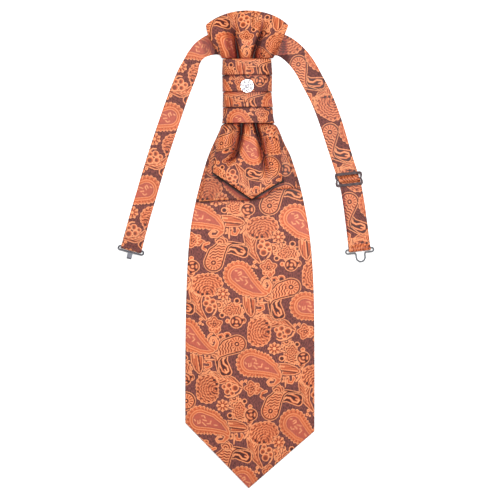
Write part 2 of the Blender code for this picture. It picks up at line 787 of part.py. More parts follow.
def make_slide(place, layout, collection):
    """The slide: a stamped figure of eight whose two outer bars cross over the strap and whose middle one
    lies under it."""
    half, slot, bar, middle_bar = 12.7, 10.7, 1.2, 0.7
    outer_y = SLIDE_REACH + bar
    corner = 2.2
    outer = arc(half - corner, outer_y - corner, corner, 90, 0, 5)
    outer += [(half, 2.4), (half - 1.0, 0.0), (half, -2.4)]
    outer += arc(half - corner, -outer_y + corner, corner, 0, -90, 5)
    outer += arc(-half + corner, -outer_y + corner, corner, -90, -180, 5)
    outer += [(-half, -2.4), (-half + 1.0, 0.0), (-half, 2.4)]
    outer += arc(-half + corner, outer_y - corner, corner, 180, 90, 5)
    loops = [outer]
    for sign in (1, -1):
        near, far = sign * middle_bar, sign * (SLIDE_REACH - bar)
        loops.append([(-slot, near), (slot, near), (slot, far), (-slot, far)])
    curve = poly_curve("slide", loops, 0.0, "2D", SLIDE_THICK / 2)
    piece = add_object("slide", curve, enamel(), layout, collection)
    ground, heading = place
    turned = Matrix.Rotation(SLIDE_TURN, 2) @ Vector((heading.x, heading.y))
    place_flat(piece, ground, turned, wire_z_of_slide(0.0), SLIDE_TILT)


def make_pin(layout, collection):
    """The jewelled pin: a round dished setting with one large stone and a ring of smaller ones."""
    lean = math.atan2(BAND_FLARE * 0.75, BAND_EDGES[1] - BAND_EDGES[2])
    seat_z = knot_point(math.pi / 2, PIN_Y, BAND_WALL + 0.62 * BAND_FLARE).z + 2 * GAP
    pin = bpy.data.objects.new("pin_place", None)
    collection.objects.link(pin)
    pin.parent = layout
    seat = Matrix.Translation(Vector((PIN_X, PIN_Y, seat_z)) * MM)
    pin.matrix_local = seat @ Matrix.Rotation(-lean, 4, "X")
    setting_height = 1.6
    bm = bmesh.new()
    bmesh.ops.create_cone(
        bm, cap_ends=True, segments=28, radius1=PIN_RADIUS - 0.6, radius2=PIN_RADIUS, depth=setting_height
    )
    bmesh.ops.translate(bm, vec=(0, 0, setting_height / 2), verts=bm.verts[:])
    finish_mesh("pin_setting", bm, steel(), pin, collection)
    stones = [(0.0, 0.0, 2.5, 0.5)]
    for k in range(PIN_RING_STONES):
        turn = 2 * math.pi * k / PIN_RING_STONES + 0.3
        stones.append((4.25 * math.cos(turn), 4.25 * math.sin(turn), 1.65, 0.0))
    for number, (x, y, radius, lift) in enumerate(stones):
        bm = bmesh.new()
        height = 1.1 + lift
        bmesh.ops.create_cone(
            bm, cap_ends=True, segments=12, radius1=radius, radius2=radius * 0.62, depth=height
        )
        bmesh.ops.translate(bm, vec=(x, y, setting_height + GAP + height / 2), verts=bm.verts[:])
        finish_mesh(f"pin_stone_{number}", bm, crystal(), pin, collection)


def clear_scene():
    for old in list(bpy.data.objects):
        bpy.data.objects.remove(old)


def main():
    clear_scene()
    collection = bpy.data.collections.new("silk_cravat")
    bpy.context.scene.collection.children.link(collection)
    shapes = bpy.data.collections.new("joined_shapes")
    bpy.context.scene.collection.children.link(shapes)
    layout = bpy.data.objects.new("cravat_layout", None)
    collection.objects.link(layout)
    layout.location = (-BOX_MIDDLE_X * MM, -BOX_MIDDLE_Y * MM, 0.0)

    make_blade(layout, collection)
    make_under_flap(layout, collection)
    make_flap(layout, collection)
    for number in range(4):
        make_band(number, layout, collection)
    make_ruff(layout, collection)
    hook_place, eye_place, slide_place = make_neck_band(layout, collection)
    make_hook(hook_place, layout, collection)
    make_eye(eye_place, layout, collection)
    make_slide(slide_place, layout, collection)
    make_pin(layout, collection)


main()
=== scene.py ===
"""The look of a pre-tied silk cravat: jacquard paisley cloth on each soft solid, and its steel fittings and pin.

Lengths are in millimetres from the middle of the knot's lower edge, until a mesh is finished.
"""

import math

import bmesh
import bpy
import numpy as np
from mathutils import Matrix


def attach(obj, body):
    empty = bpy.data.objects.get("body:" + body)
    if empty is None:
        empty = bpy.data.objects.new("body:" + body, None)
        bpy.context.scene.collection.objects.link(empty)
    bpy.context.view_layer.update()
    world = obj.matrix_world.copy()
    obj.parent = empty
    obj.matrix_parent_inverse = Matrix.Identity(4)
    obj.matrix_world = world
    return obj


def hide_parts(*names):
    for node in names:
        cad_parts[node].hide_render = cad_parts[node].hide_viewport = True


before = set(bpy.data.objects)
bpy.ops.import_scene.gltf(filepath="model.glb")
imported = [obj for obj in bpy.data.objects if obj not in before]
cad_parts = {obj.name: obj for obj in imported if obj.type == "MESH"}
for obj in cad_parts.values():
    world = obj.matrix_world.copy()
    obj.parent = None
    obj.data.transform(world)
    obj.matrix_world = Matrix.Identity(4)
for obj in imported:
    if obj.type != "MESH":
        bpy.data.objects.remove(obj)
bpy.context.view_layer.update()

# The blade. A folded tie blade of woven silk over an interlining, pressed flat, with round folded edges and
# a pointed end. The silk is a jacquard: a plum ground, and paisley motifs in orange, rust and pale threads.

MIDDLE = np.array((2.28, 116.35, 0.0))

BLADE_SIDES = [
    (76, -19, 17), (60, -19.5, 17.5), (30, -19, 18), (4, -19, 19), (1, -20.5, 20.5), (-1, -24.5, 25),
    (-6, -26.6, 28.2), (-17, -31.8, 32.8), (-28, -36.6, 38.3), (-39, -40.3, 42.2), (-56, -45, 47.5),
    (-78, -50.2, 52.4), (-100, -54, 56.2), (-126, -56.2, 59), (-165, -57.8, 60.7), (-230, -58.6, 61.2),
    (-340, -58.4, 61),
]
BLADE_FACE = [(76, 3.8), (62, 4.2), (0, 4.4), (-8, 3.9), (-22, 2.6)]
BLADE_BACK = [(76, 1.6), (63, 1.9), (58, 2.2), (-1, 2.2), (-16, 0)]
BLADE_CROWN = 0.8
BLADE_TIP = (0.2, -337.5)
BLADE_CORNERS = (-277.0, -284.5)
BLADE_EDGE = 1.3


# Where less light reaches the blade: y and share. There is little, too, along the under-flap's hem, x and y.
BLADE_SHADE = [(76, 0.9), (-40, 0.3), (-62, 0.12), (-78, 0), (-110, 0), (-200, 0.03), (-300, 0.1), (-340, 0.15)]
UNDER_HEM = [(-45, -72), (-20, -70.5), (0, -71), (14, -68.5), (25, -61), (45, -59.5)]


def through(rows, at, column=1):
    """One column of a table at each y, on a smooth curve through its rows."""
    table = np.array(sorted(rows), dtype=float)
    ys, values = table[:, 0], table[:, column]
    last = len(ys) - 1
    before_, after = np.maximum(np.arange(last + 1) - 1, 0), np.minimum(np.arange(last + 1) + 1, last)
    slopes = (values[after] - values[before_]) / (ys[after] - ys[before_])
    at = np.clip(at, ys[0], ys[-1])
    i = np.clip(np.searchsorted(ys, at, "right") - 1, 0, last - 1)
    step, rise = ys[i + 1] - ys[i], values[i + 1] - values[i]
    t = (at - ys[i]) / step
    enter, leave = slopes[i] * step, slopes[i + 1] * step
    enter = np.where(rise * enter <= 0, 0, enter)
    leave = np.where(rise * leave <= 0, 0, leave)
    return values[i] + enter * (t**3 - 2 * t**2 + t) + rise * (3 * t**2 - 2 * t**3) + leave * (t**3 - t**2)


def grid(across, along):
    """A flat grid as a bmesh, with the share across and the share along of each vertex, from 0 to 1."""
    bm = bmesh.new()
    bmesh.ops.create_grid(bm, x_segments=across, y_segments=along, size=0.5)
    co = np.array([vert.co[:] for vert in bm.verts])
    return bm, co[:, 0] + 0.5, co[:, 1] + 0.5


def spread(*stretches):
    """Places for rows from (start, end, spacing) stretches."""
    places = [stretches[0][0]]
    for start, end, spacing in stretches:
        rows = max(1, round(abs(end - start) / spacing))
        places += [start + (end - start) * (k + 1) / rows for k in range(rows)]
    return np.array(places)


def set_places(bm, places):
    for vert, place in zip(bm.verts, places):
        vert.co = place


def finish_piece(name, bm, material, body):
    """Scales a bmesh from millimetres to its place, makes it an object and lets it ride on a body."""
    for vert in bm.verts:
        vert.co = [(c + m) / 1000 for c, m in zip(vert.co, MIDDLE)]
    mesh = bpy.data.meshes.new(name)
    bm.to_mesh(mesh)
    bm.free()
    mesh.shade_smooth()
    mesh.materials.append(material)
    piece = bpy.data.objects.new(name, mesh)
    bpy.context.scene.collection.objects.link(piece)
    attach(piece, body)
    return piece


SQUARE = 0.925
STEP_ACROSS = (-47.2, -52.7)
STEP_DOWN = (2.8, -190.0)


class Chart:
    """Weaving chart of the silk. Shapes are in squares, counted across and down from a motif's middle."""

    def __init__(self, x, y):
        self.cloth_x, self.cloth_y = x, y
        self.motif = np.full(x.shape, -6.0)
        self.rust = np.full(x.shape, -6.0)
        self.tone = np.zeros(x.shape)

    def pen_to(self, place, flip, middle, turn):
        """Moves to a motif. middle is the middle of its whole figure, so that the repeat cuts none of it."""
        (ax, ay), (bx, by) = STEP_ACROSS, STEP_DOWN
        c, s = math.cos(math.radians(turn)), math.sin(math.radians(turn))
        mx, my = c * middle[0] - s * middle[1], s * middle[0] + c * middle[1]
        mx, my = (my * SQUARE, -mx * SQUARE) if flip else (mx * SQUARE, -my * SQUARE)
        x, y = self.cloth_x - place[0] - mx, self.cloth_y - place[1] - my
        area = ax * by - ay * bx
        i = np.round((x * by - y * bx) / area)
        j = np.round((ax * y - ay * x) / area)
        x, y = (x - i * ax - j * bx + mx) / SQUARE, (i * ay + j * by - y - my) / SQUARE
        if flip:
            x, y = y, x
        self.x, self.y = 1.03 * (c * x + s * y), 1.01 * (c * y - s * x)

    def away(self, x, y):
        return np.hypot(self.x - x, self.y - y)

    def angle(self, x, y):
        return np.arctan2(self.y - y, self.x - x)

    def disc(self, x, y, radius, lobes=0, depth=0.0, start=0.0):
        swell = 1 + depth * np.cos(lobes * (self.angle(x, y) - start)) if lobes else 1
        return radius * swell - self.away(x, y)

    def trail(self, *rows):
        """Inside of a shape swept along rows of across, down and radius."""
        best = np.full(self.x.shape, -99.0)
        for (x0, y0, r0), (x1, y1, r1) in zip(rows, rows[1:]):
            dx, dy = x1 - x0, y1 - y0
            t = np.clip(((self.x - x0) * dx + (self.y - y0) * dy) / (dx * dx + dy * dy), 0, 1)
            best = np.maximum(best, r0 + (r1 - r0) * t - np.hypot(self.x - x0 - t * dx, self.y - y0 - t * dy))
        return best

    def figure(self, shape, rim=0.7, lined=0.0):
        """Lays a new motif over the older ones, with a narrow rim of ground about it. lined is how dark the
        line inside its pale edge is."""
        self.motif = np.maximum(np.minimum(self.motif, -(shape + rim)), shape)
        self.rust = np.minimum(self.rust, -(shape + rim))
        self.ink(shape + 0.3, 0.0)
        if lined:
            self.ink(line(shape - 1.65, 0.5), -lined)

    def ink(self, shape, tone):
        """Lightens (up to 1) or darkens (down to -1) the inside of a shape."""
        t = np.clip(shape / 0.5 + 0.5, 0, 1)
        self.tone = self.tone * (1 - t) + tone * t


def wave(distance, pitch, first=0.0):
    return np.cos(2 * math.pi * (distance - first) / pitch)


def line(distance, half=0.5):
    return half - np.abs(distance)


def draw_drop(c):
    """Large drop with a frilled edge, a curl at its tip and a rust-coloured middle."""
    hook = c.trail((25.5, 14.5, 2.8), (27.8, 9.0, 1.8), (25.6, 4.0, 1.5), (22.2, 3.8, 1.4), (20.8, 7.0, 1.3), (22.8, 9.6, 1.0))
    body = c.trail((-3.4, -1.6, 9.0), (3.4, 6.2, 7.6), (11.6, 12.6, 5.0), (19.0, 16.4, 2.2), (23.4, 16.8, 0.6))
    edge = c.trail((-3.4, -1.8, 14.6), (3.4, 6.2, 12.8), (11.6, 12.0, 9.2), (19.5, 15.8, 4.8), (25.5, 14.8, 2.2))
    around = c.angle(1, 3)
    petal = np.sin(13 * around)
    c.figure(np.maximum(edge + 1.4 * np.abs(petal) - 0.8, hook))
    c.ink(line(hook - 1.0, 0.35), 0.6)
    band = np.minimum(edge - 0.4, -body - 2.0)
    c.ink(np.minimum(line(petal * 4, 0.8), band), -0.55)
    c.ink(np.minimum(line(np.cos(13 * around) * 4, 1.0), band), 0.7)
    c.ink(line(body + 2.1, 0.4), -0.3)
    c.ink(line(body + 1.1, 0.5), 0.65)
    c.ink(line(body - 0.4, 0.5), -0.15)
    c.rust = np.maximum(c.rust, body - 1.4)
    c.ink(line(body - 1.3, 0.4), 0.7)
    c.ink(line(body - 2.4, 0.4), -0.22)
    for row in (
        ((-6.5, -6.5, 0.5), (-4.6, -6.2, 0.5)), ((-3.6, -4.0, 0.5), (-1.0, -5.4, 0.4), (-0.4, -3.0, 0.5), (-3.2, -1.6, 0.4)),
        ((0.2, -0.6, 0.4), (4.8, 0.8, 0.5)), ((-6.2, 1.6, 0.4), (-5.0, 4.0, 0.4), (-2.6, 3.8, 0.5)),
        ((3.6, 3.0, 0.5), (5.4, 5.6, 0.4), (3.0, 7.6, 0.5)), ((8.0, 8.4, 0.4), (10.0, 11.0, 0.5)), ((-2.0, 1.0, 0.5), (0.6, 3.6, 0.5)),
    ):
        c.ink(c.trail(*row), 0.9)


def draw_leaf(c):
    """Ribbed leaf that hangs from a drop, with curls beside it."""
    for row in (
        ((8.6, 2.4, 1.2), (12.6, 1.6, 1.8), (12.4, 4.8, 1.6), (9.0, 5.0, 1.2)), ((8.0, 8.0, 1.2), (13.0, 7.2, 1.1), (19.0, 6.8, 0.5)),
        ((8.0, 9.4, 1.2), (13.8, 10.0, 1.8), (14.6, 13.2, 1.5), (10.4, 15.4, 1.8), (7.0, 14.0, 1.1)),
        ((3.0, 21.0, 1.6), (8.8, 20.6, 1.1), (13.0, 17.4, 0.9)),
    ):
        c.figure(c.trail(*row), 0.5)
    for x, y, r in ((10.8, 3.4, 1.0), (11.2, 12.2, 1.4), (10.0, 8.6, 0.7)):
        c.ink(c.disc(x, y, r), -1)
    body = c.trail((0.0, -1.0, 6.0), (0.6, 8.0, 6.2), (1.8, 15.0, 4.8), (2.4, 18.6, 2.8))
    c.figure(body, 0.7, 0.5)
    across = c.x - 0.1 * c.y
    c.ink(body - 2.1, 0.3 + 0.6 * wave(across, 3.6, 0.9))
    c.ink(np.minimum(line(across - 1.4 - 0.03 * c.y, 0.55), np.minimum(body - 1.6, c.y - 2)), -1)
    c.ink(np.minimum(line(across + 2.6, 0.4), np.minimum(body - 1.6, c.y - 6)), -0.8)


def draw_peacock(c):
    """Drop with a daisy for its eye, turned over at the top, with a scrolled wing beside it."""
    c.figure(c.trail((-7.4, -19.0, 1.6), (-11.0, -17.0, 1.7), (-11.6, -12.8, 1.8), (-8.2, -11.0, 1.5)), 0.5)
    c.ink(c.disc(-9.7, -14.6, 1.4), -1)
    wing = np.maximum(
        c.trail((8.0, -18.4, 4.6), (17.0, -18.4, 4.8), (26.6, -17.2, 4.8)),
        c.trail((10.0, -14.6, 4.6), (15.0, -15.0, 3.4), (20.0, -14.4, 4.0), (27.0, -13.6, 4.6)),
    )
    c.figure(wing, 0.6)
    c.ink(wing - 1.3, -1)
    c.ink(c.trail((10.0, -19.8, 0.7), (18.0, -20.2, 0.7), (25.5, -18.4, 0.7), (28.0, -15.4, 0.7)), 0.6)
    c.ink(c.trail((11.5, -13.6, 0.8), (14.0, -16.2, 0.9), (18.0, -16.0, 0.9), (21.4, -13.0, 0.9), (26.0, -12.6, 0.9), (27.6, -14.8, 0.7), (24.0, -16.0, 0.7)), 0.85)
    outer = c.trail((0.0, 0.0, 9.8), (1.4, -8.6, 9.2), (4.8, -15.6, 7.0), (9.4, -20.2, 3.8), (14.5, -22.4, 2.0), (26.0, -22.8, 1.0))
    c.figure(outer, 0.5)
    c.ink(line(outer - 1.5, 0.55), -1)
    c.ink(line(outer - 2.6, 0.45), 0.8)
    bud = np.maximum(c.disc(2.4, -24.2, 4.8), c.disc(7.0, -23.2, 3.4))
    c.figure(bud, 0.3)
    c.ink(bud - 1.0, wave(c.away(3.0, -21.0), 2.5, 0.2))
    inside = outer - 3.0
    from_eye = c.away(0, 0)
    c.ink(np.minimum(inside, 7.6 - from_eye), -0.9 * np.cos(14 * c.angle(0, 0)) + 0.1)
    c.ink(np.minimum(inside, np.minimum(-c.y - 4.6, from_eye - 4.5)), wave(c.away(5.0, 4.0) + 0.5 * np.sin(c.x * 1.3 + 1), 2.7, 1.2))
    c.ink(line(from_eye - 7.8, 0.4) + np.minimum(0, c.y + 3), -0.6)
    c.ink(c.disc(0, 0, 2.5), -1)
    c.ink(line(from_eye - 2.9, 0.4), 0.6)
    c.ink(c.disc(0, 0, 1.0), 1)


def draw_palmette(c):
    """Fan-shaped bloom with a lobed head and a leaf-like tail, and a stem that curls back from its point."""
    c.figure(c.trail((-3.5, 35.5, 1.0), (2.2, 32.4, 0.9), (6.2, 26.4, 0.8), (7.2, 20.0, 0.8), (5.6, 17.2, 0.7)), 0.8)
    for x, y, r in ((-5.0, 34.0, 2.2), (-9.6, 38.5, 1.8), (-8.6, 34.6, 1.8), (-7.0, 40.0, 1.3)):
        c.figure(c.disc(x, y, r), 0.4)
    tail = c.trail((-12.4, 6.0, 7.6), (-12.8, 16.0, 5.6), (-10.6, 25.0, 3.8), (-3.5, 35.0, 1.4))
    c.figure(tail, 0.5, 0.6)
    middle = c.x + 12.6 - 0.009 * (c.y - 6) ** 2
    rib = np.minimum(tail - 2.2, c.y - 7.0)
    c.ink(rib, wave(c.y + 1.6 * np.abs(middle), 3.4, 1.0))
    c.ink(np.minimum(line(middle, 0.4), rib), 0.8)
    for x, y, r in ((-17.4, 2.6, 3.6), (-19.4, -1.6, 3.2), (-17.8, -6.0, 2.6)):
        c.figure(c.disc(x, y, r), 0.2)
    lobe = c.disc(-12.4, -1.2, 8.2, 9, 0.05)
    c.figure(lobe, 0.1)
    c.ink(lobe - 0.9, wave(c.away(-12.6, 0.6) + 0.9 * np.cos(5 * c.angle(-12, 1)), 2.5, 0.2))
    head = c.trail((-6.0, 0.0, 11.0), (1.8, -0.4, 11.6))
    edge = head + 1.1 * np.abs(np.sin(9 * c.angle(-1, 1))) - 0.3
    c.figure(edge, 0.2)
    fan = 9 * c.angle(-1, 1)
    c.ink(np.minimum(edge - 1.2, -head + 3.0), np.where(np.cos(2 * fan) > 0, -0.7, 0.5))
    c.ink(head - 2.4, wave(c.away(-1.0, 8.0) + 0.5 * np.cos(1.3 * fan), 2.5, 0.6) * (0.75 + 0.25 * np.cos(2.1 * fan)))
    for x, y in ((-10.6, 7.0), (-6.6, 9.4), (-1.6, 8.8)):
        c.ink(c.disc(x, y, 1.4), -1)


def draw_sprig(c):
    """Small bunch of buds."""
    for x, y, r in ((-2.2, -6.0, 2.9), (2.8, -3.0, 3.4), (-3.6, -1.4, 3.3), (4.4, 1.6, 2.9), (-0.8, 4.6, 3.9)):
        c.figure(c.disc(x, y, r), 0.0)
        c.ink(c.disc(x, y + 0.4, r - 1.7), -0.6)


def draw_rosette(c):
    """Five-pointed rosette with rings inside it."""
    star = c.disc(0, 0, 7.6, 5, 0.16, 0.9)
    c.figure(np.maximum(star, c.trail((1.5, 7.0, 3.0), (3.0, 12.0, 1.6))), 0.7, 0.4)
    c.ink(star - 2.2, 0.9 * wave(star, 3.0, 3.4))
    for turn in (0.5, 1.0, 1.5, 2.0, 2.5):
        c.ink(c.trail((4.0 * math.cos(turn), 4.0 * math.sin(turn), 0.5), (6.4 * math.cos(turn), 6.4 * math.sin(turn), 0.6)), 0.9)
    c.ink(c.disc(0, 0, 1.7), -0.9)
    c.ink(c.disc(0, 0, 0.8), 0.8)


def draw_loop(c):
    """Looped leaf beside a rosette, with a curl under it."""
    c.figure(c.trail((-7.5, 6.0, 2.8), (-3.6, 2.4, 3.4), (0.6, -0.6, 4.6)), 0.5)
    c.ink(c.trail((-1.6, 1.6, 1.3), (1.0, -0.8, 2.0)), -1)
    c.ink(c.trail((-7.4, 7.4, 0.6), (-5.0, 3.8, 0.8)), -0.9)
    c.figure(c.trail((-7.0, 0.5, 1.6), (-9.4, 5.6, 1.5)), 0.4)


def draw_carnation(c):
    """Spray of florets: a ruffled bloom with knobs, a small rosette, a loop, a bud and a swirling flower."""
    c.figure(c.trail((-19.0, -7.5, 0.8), (-12.0, -5.0, 0.8)), 0.8)
    for x, y, r in (
        (-7.0, -7.8, 2.0), (-2.2, -9.2, 2.2), (5.8, -8.2, 3.1), (9.6, -3.0, 2.9), (11.0, 2.4, 2.7), (10.2, 7.2, 2.3), (-8.8, 6.4, 2.9),
        (-10.6, 1.6, 1.8),
    ):
        c.figure(c.disc(x, y, r), 0.2)
        c.ink(c.disc(x, y, r - 1.3), -1)
    bloom = c.trail((-2.8, -0.6, 7.4), (4.0, 2.4, 7.6)) + 0.6 * np.cos(11 * c.angle(0, 1))
    c.figure(bloom, 0.0)
    c.ink(bloom - 1.0, wave(c.away(0.5, 2.5) + 1.1 * np.cos(7 * c.angle(0, 2)), 2.6, 0.4))
    rose = c.disc(-11.8, -4.0, 5.0, 6, 0.08)
    c.figure(rose, 0.0)
    c.ink(rose - 0.9, wave(c.away(-11.8, -4.0), 2.8, 0.0))
    c.figure(c.disc(-3.4, 12.2, 2.4), 0.7)
    swirl = np.maximum(c.disc(5.0, 13.0, 6.8), c.disc(11.4, 11.6, 3.6))
    c.figure(swirl, 0.1)
    c.ink(swirl - 0.9, wave(c.away(5.2, 13.0), 3.2, 0.6) * 0.9)
    for x, y in ((3.2, 9.8), (11.2, 11.2), (2.4, 15.4), (8.0, 15.6)):
        c.ink(c.disc(x, y, 1.3), -1)


def draw_daisy(c):
    """Small eight-petalled daisy on a short stem."""
    c.figure(c.trail((1.5, 4.0, 0.8), (3.0, 10.0, 0.8)), 0.7)
    daisy = c.disc(0, 0, 6.0, 8, 0.12)
    c.figure(daisy)
    c.ink(np.minimum(daisy - 0.5, c.away(0, 0) - 1.6), 0.9 * np.cos(8 * c.angle(0, 0)))
    c.ink(line(c.away(0, 0) - 2.3, 0.4), -0.6)
    c.ink(c.disc(0, 0, 1.6), 0.9)


# The motifs of one repeat: how far each one's whole figure is from its own middle, in squares, and where it
# stands in the upright group and in the flipped one, mm across and up, with its turn in degrees.
REPEAT = [
    (draw_carnation, (-3, 3), (-9.2, -29.6, 0), (-3.6, -123.0, 0)),
    (draw_palmette, (-5, 14), (19.1, 45.3, 0), (-31.7, -105.0, 0)),
    (draw_sprig, (0, 0), (19.6, 27.0, 0), (-10.6, -103.6, 0)),
    (draw_daisy, (0, 2), (-16.0, -15.7, 0), (-18.0, -119.0, 0)),
    (draw_leaf, (6, 10), (6.2, -17.4, 0), (33.5, -85.0, 0)),
    (draw_loop, (-4, 3), (33.6, -2.8, 0), (-26.0, -55.5, 0)),
    (draw_rosette, (1, 2), (23.2, 8.6, 0), (9.4, -103.2, 0)),
    (draw_peacock, (10, -8), (-23.7, 13.2, 9), (-4.4, -62.1, 9)),
    (draw_drop, (5, 2), (0.5, 0.0, 0), (11.0, -81.5, 28)),
]


def weave_chart(x, y):
    c = Chart(x, y)
    for draw, middle, upright, flipped in REPEAT:
        c.pen_to(upright[:2], False, middle, upright[2])
        draw(c)
        c.pen_to(flipped[:2], True, middle, flipped[2])
        draw(c)
    return c


def weave(piece, across, along, shade=0.0):
    """Gives each vertex of a cloth its place on the chart, in millimetres across and along the silk, and its painted
    shade, from 0 to 1, which darkens its colour evenly, in a crease or under an edge."""
    chart = weave_chart(across, along)
    shade = np.clip(shade + 0 * across, 0, 1)
    for name, values in (("motif", chart.motif), ("rust", chart.rust), ("tone", chart.tone), ("shade", shade)):
        layer = piece.data.attributes.new(name, "FLOAT", "POINT")
        layer.data.foreach_set("value", values.astype(np.float32))
    layer = piece.data.attributes.new("cloth", "FLOAT_VECTOR", "POINT")
    places = np.stack((across, along, 0 * across), axis=1).astype(np.float32)
    layer.data.foreach_set("vector", places.ravel())


def colour(code):
    """An sRGB hex colour as linear RGBA."""
    parts = [int(code[k : k + 2], 16) / 255 for k in (0, 2, 4)]
    return (*(p / 12.92 if p <= 0.04045 else ((p + 0.055) / 1.055) ** 2.4 for p in parts), 1.0)


def add(tree, kind, settings=(), **inputs):
    """Adds a node with its settings. An input is named by its place on the node, as in i0, and is a value or
    the socket that feeds it."""
    node = tree.nodes.new(kind)
    for name, value in dict(settings).items():
        setattr(node, name, value)
    for key, value in inputs.items():
        socket = node.inputs[int(key[1:])]
        if isinstance(value, bpy.types.NodeSocket):
            tree.links.new(value, socket)
        else:
            socket.default_value = value
    return node


def new_material(name, roughness, metallic=0.0):
    made = bpy.data.materials.new(name)
    made.use_nodes = True
    shader = made.node_tree.nodes["Principled BSDF"]
    shader.inputs["Roughness"].default_value = roughness
    shader.inputs["Metallic"].default_value = metallic
    return made, made.node_tree, shader


def woven_silk():
    """Jacquard silk: satin floats for the motifs, with a soft sheen, on a duller twill ground."""
    made, tree, shader = new_material("jacquard_silk", 0.5)
    attribute, maths, mix = "ShaderNodeAttribute", "ShaderNodeMath", "ShaderNodeMix"
    motif = add(tree, attribute, {"attribute_name": "motif"}).outputs[2]
    rust = add(tree, attribute, {"attribute_name": "rust"}).outputs[2]
    tone = add(tree, attribute, {"attribute_name": "tone"}).outputs[2]
    cloth = add(tree, attribute, {"attribute_name": "cloth"}).outputs[1]

    # Threads are 0.1 mm apart, too fine to show, so they are drawn 0.9 mm apart.
    stretch = add(tree, "ShaderNodeMapping", i0=cloth, i3=(1.1, 0.45, 1.0)).outputs[0]
    thread = add(tree, "ShaderNodeTexNoise", {"noise_dimensions": "2D"}, i0=stretch, i2=1.0, i3=2.0).outputs[0]
    slub = add(tree, "ShaderNodeTexNoise", {"noise_dimensions": "2D"}, i0=cloth, i2=0.035, i3=3.0).outputs[0]

    wander = add(tree, maths, {"operation": "MULTIPLY_ADD"}, i0=thread, i1=0.5, i2=-0.25).outputs[0]
    edge = add(tree, maths, {"operation": "ADD"}, i0=motif, i1=wander).outputs[0]
    step = {"interpolation_type": "SMOOTHSTEP"}
    on_motif = add(tree, "ShaderNodeMapRange", step, i0=edge, i1=-0.25, i2=0.25).outputs[0]
    on_rust = add(tree, "ShaderNodeMapRange", step, i0=rust, i1=-0.2, i2=0.2).outputs[0]
    off = add(tree, maths, {"operation": "SUBTRACT"}, i0=motif, i1=0.5).outputs[0]
    off = add(tree, maths, {"operation": "ABSOLUTE"}, i0=off).outputs[0]
    edging = add(tree, "ShaderNodeMapRange", step, i0=off, i1=0.6, i2=0.2, i3=0.0, i4=0.8).outputs[0]
    pale = add(tree, maths, {"operation": "MAXIMUM", "use_clamp": True}, i0=edging, i1=tone).outputs[0]
    deep = add(tree, maths, {"operation": "MULTIPLY", "use_clamp": True}, i0=tone, i1=-1.2).outputs[0]

    shade = {"data_type": "RGBA"}
    paint = add(tree, mix, shade, i0=on_rust, i6=colour(ORANGE), i7=colour(RUST)).outputs[2]
    paint = add(tree, mix, shade, i0=pale, i6=paint, i7=colour(PALE)).outputs[2]
    paint = add(tree, mix, shade, i0=deep, i6=paint, i7=colour(DEEP)).outputs[2]
    fleck = add(tree, "ShaderNodeMapRange", step, i0=thread, i1=0.3, i2=0.7).outputs[0]
    ground = add(tree, mix, shade, i0=fleck, i6=colour(GROUND_LOW), i7=colour(GROUND_HIGH)).outputs[2]
    paint = add(tree, mix, shade, i0=on_motif, i6=ground, i7=paint).outputs[2]
    value = add(tree, "ShaderNodeMapRange", i0=thread, i1=0.25, i2=0.75, i3=0.87, i4=1.13).outputs[0]
    wash = add(tree, "ShaderNodeMapRange", i0=slub, i1=0.3, i2=0.7, i3=0.92, i4=1.08).outputs[0]
    value = add(tree, maths, {"operation": "MULTIPLY"}, i0=value, i1=wash).outputs[0]
    paint = add(tree, "ShaderNodeHueSaturation", i2=value, i4=paint).outputs[0]
    # Painted shade: the shade attribute multiplies the colour, evenly at first, then redder on a crease's banks and
    # near black in its depth.
    shade = add(tree, attribute, {"attribute_name": "shade"}).outputs[2]
    dim = {"data_type": "RGBA", "blend_type": "MULTIPLY"}
    for start, end, tint in ((0.0, 0.3, SHADE_DIMMING), (0.3, 0.6, CREASE_BANK_SHADE), (0.6, 1.0, CREASE_DEPTH_SHADE)):
        depth = add(tree, "ShaderNodeMapRange", i0=shade, i1=start, i2=end).outputs[0]
        paint = add(tree, mix, dim, i0=depth, i6=paint, i7=colour(tint)).outputs[2]
    tree.links.new(paint, shader.inputs["Base Color"])

    gloss = add(tree, "ShaderNodeMapRange", i0=on_motif, i3=0.62, i4=0.45).outputs[0]
    tree.links.new(gloss, shader.inputs["Roughness"])
    twill = add(tree, "ShaderNodeTexWave", {"bands_direction": "DIAGONAL"}, i0=cloth, i1=0.55, i2=0.6, i3=1.0).outputs[1]
    height = add(tree, maths, {"operation": "MULTIPLY_ADD"}, i0=twill, i1=0.25, i2=on_motif).outputs[0]
    height = add(tree, maths, {"operation": "MULTIPLY_ADD"}, i0=thread, i1=0.5, i2=height).outputs[0]
    bump = add(tree, "ShaderNodeBump", i0=0.35, i1=0.00012, i3=height).outputs[0]
    tree.links.new(bump, shader.inputs["Normal"])
    shader.inputs["Sheen Weight"].default_value = 0.04
    shader.inputs["Sheen Roughness"].default_value = 0.4
    shader.inputs["Specular IOR Level"].default_value = 0.18
    return made


GROUND_LOW, GROUND_HIGH = "4a2421", "6c3933"
ORANGE, PALE, RUST, DEEP = "a94f2a", "d08a5e", "984634", "3c1009"
# The colours that the painted shade multiplies in: an even dimming, a crease's banks, a crease's depth.
SHADE_DIMMING, CREASE_BANK_SHADE, CREASE_DEPTH_SHADE = "d2c7c0", "cf8c88", "4c3a3c"
silk = woven_silk()


def panel(sides, last, hem, hem_start, places, u, v, share=0.5):
    """How a panel lies in plan: x, y, share across from -1 to 1, and how far each point is from the nearest
    edge. Rows are level down to hem_start, and from there they come closer to the hem's own line."""
    left, right = (through(sides, last, k) for k in (1, 2))
    u = np.where(u < 0.5, 2 * u * share, share + (2 * u - 1) * (1 - share))
    row = np.interp(v, np.linspace(0, 1, len(places)), places)
    rise = hem(left + u * (right - left)) - last
    y = row + np.clip((row - hem_start) / (last - hem_start), 0, 1) * rise
    left, right = (through(sides, y, k) for k in (1, 2))
    off = np.minimum(np.minimum(u, 1 - u) * (right - left), (y - last - rise) * 0.75)
    return left + u * (right - left), y, 2 * u - 1, off


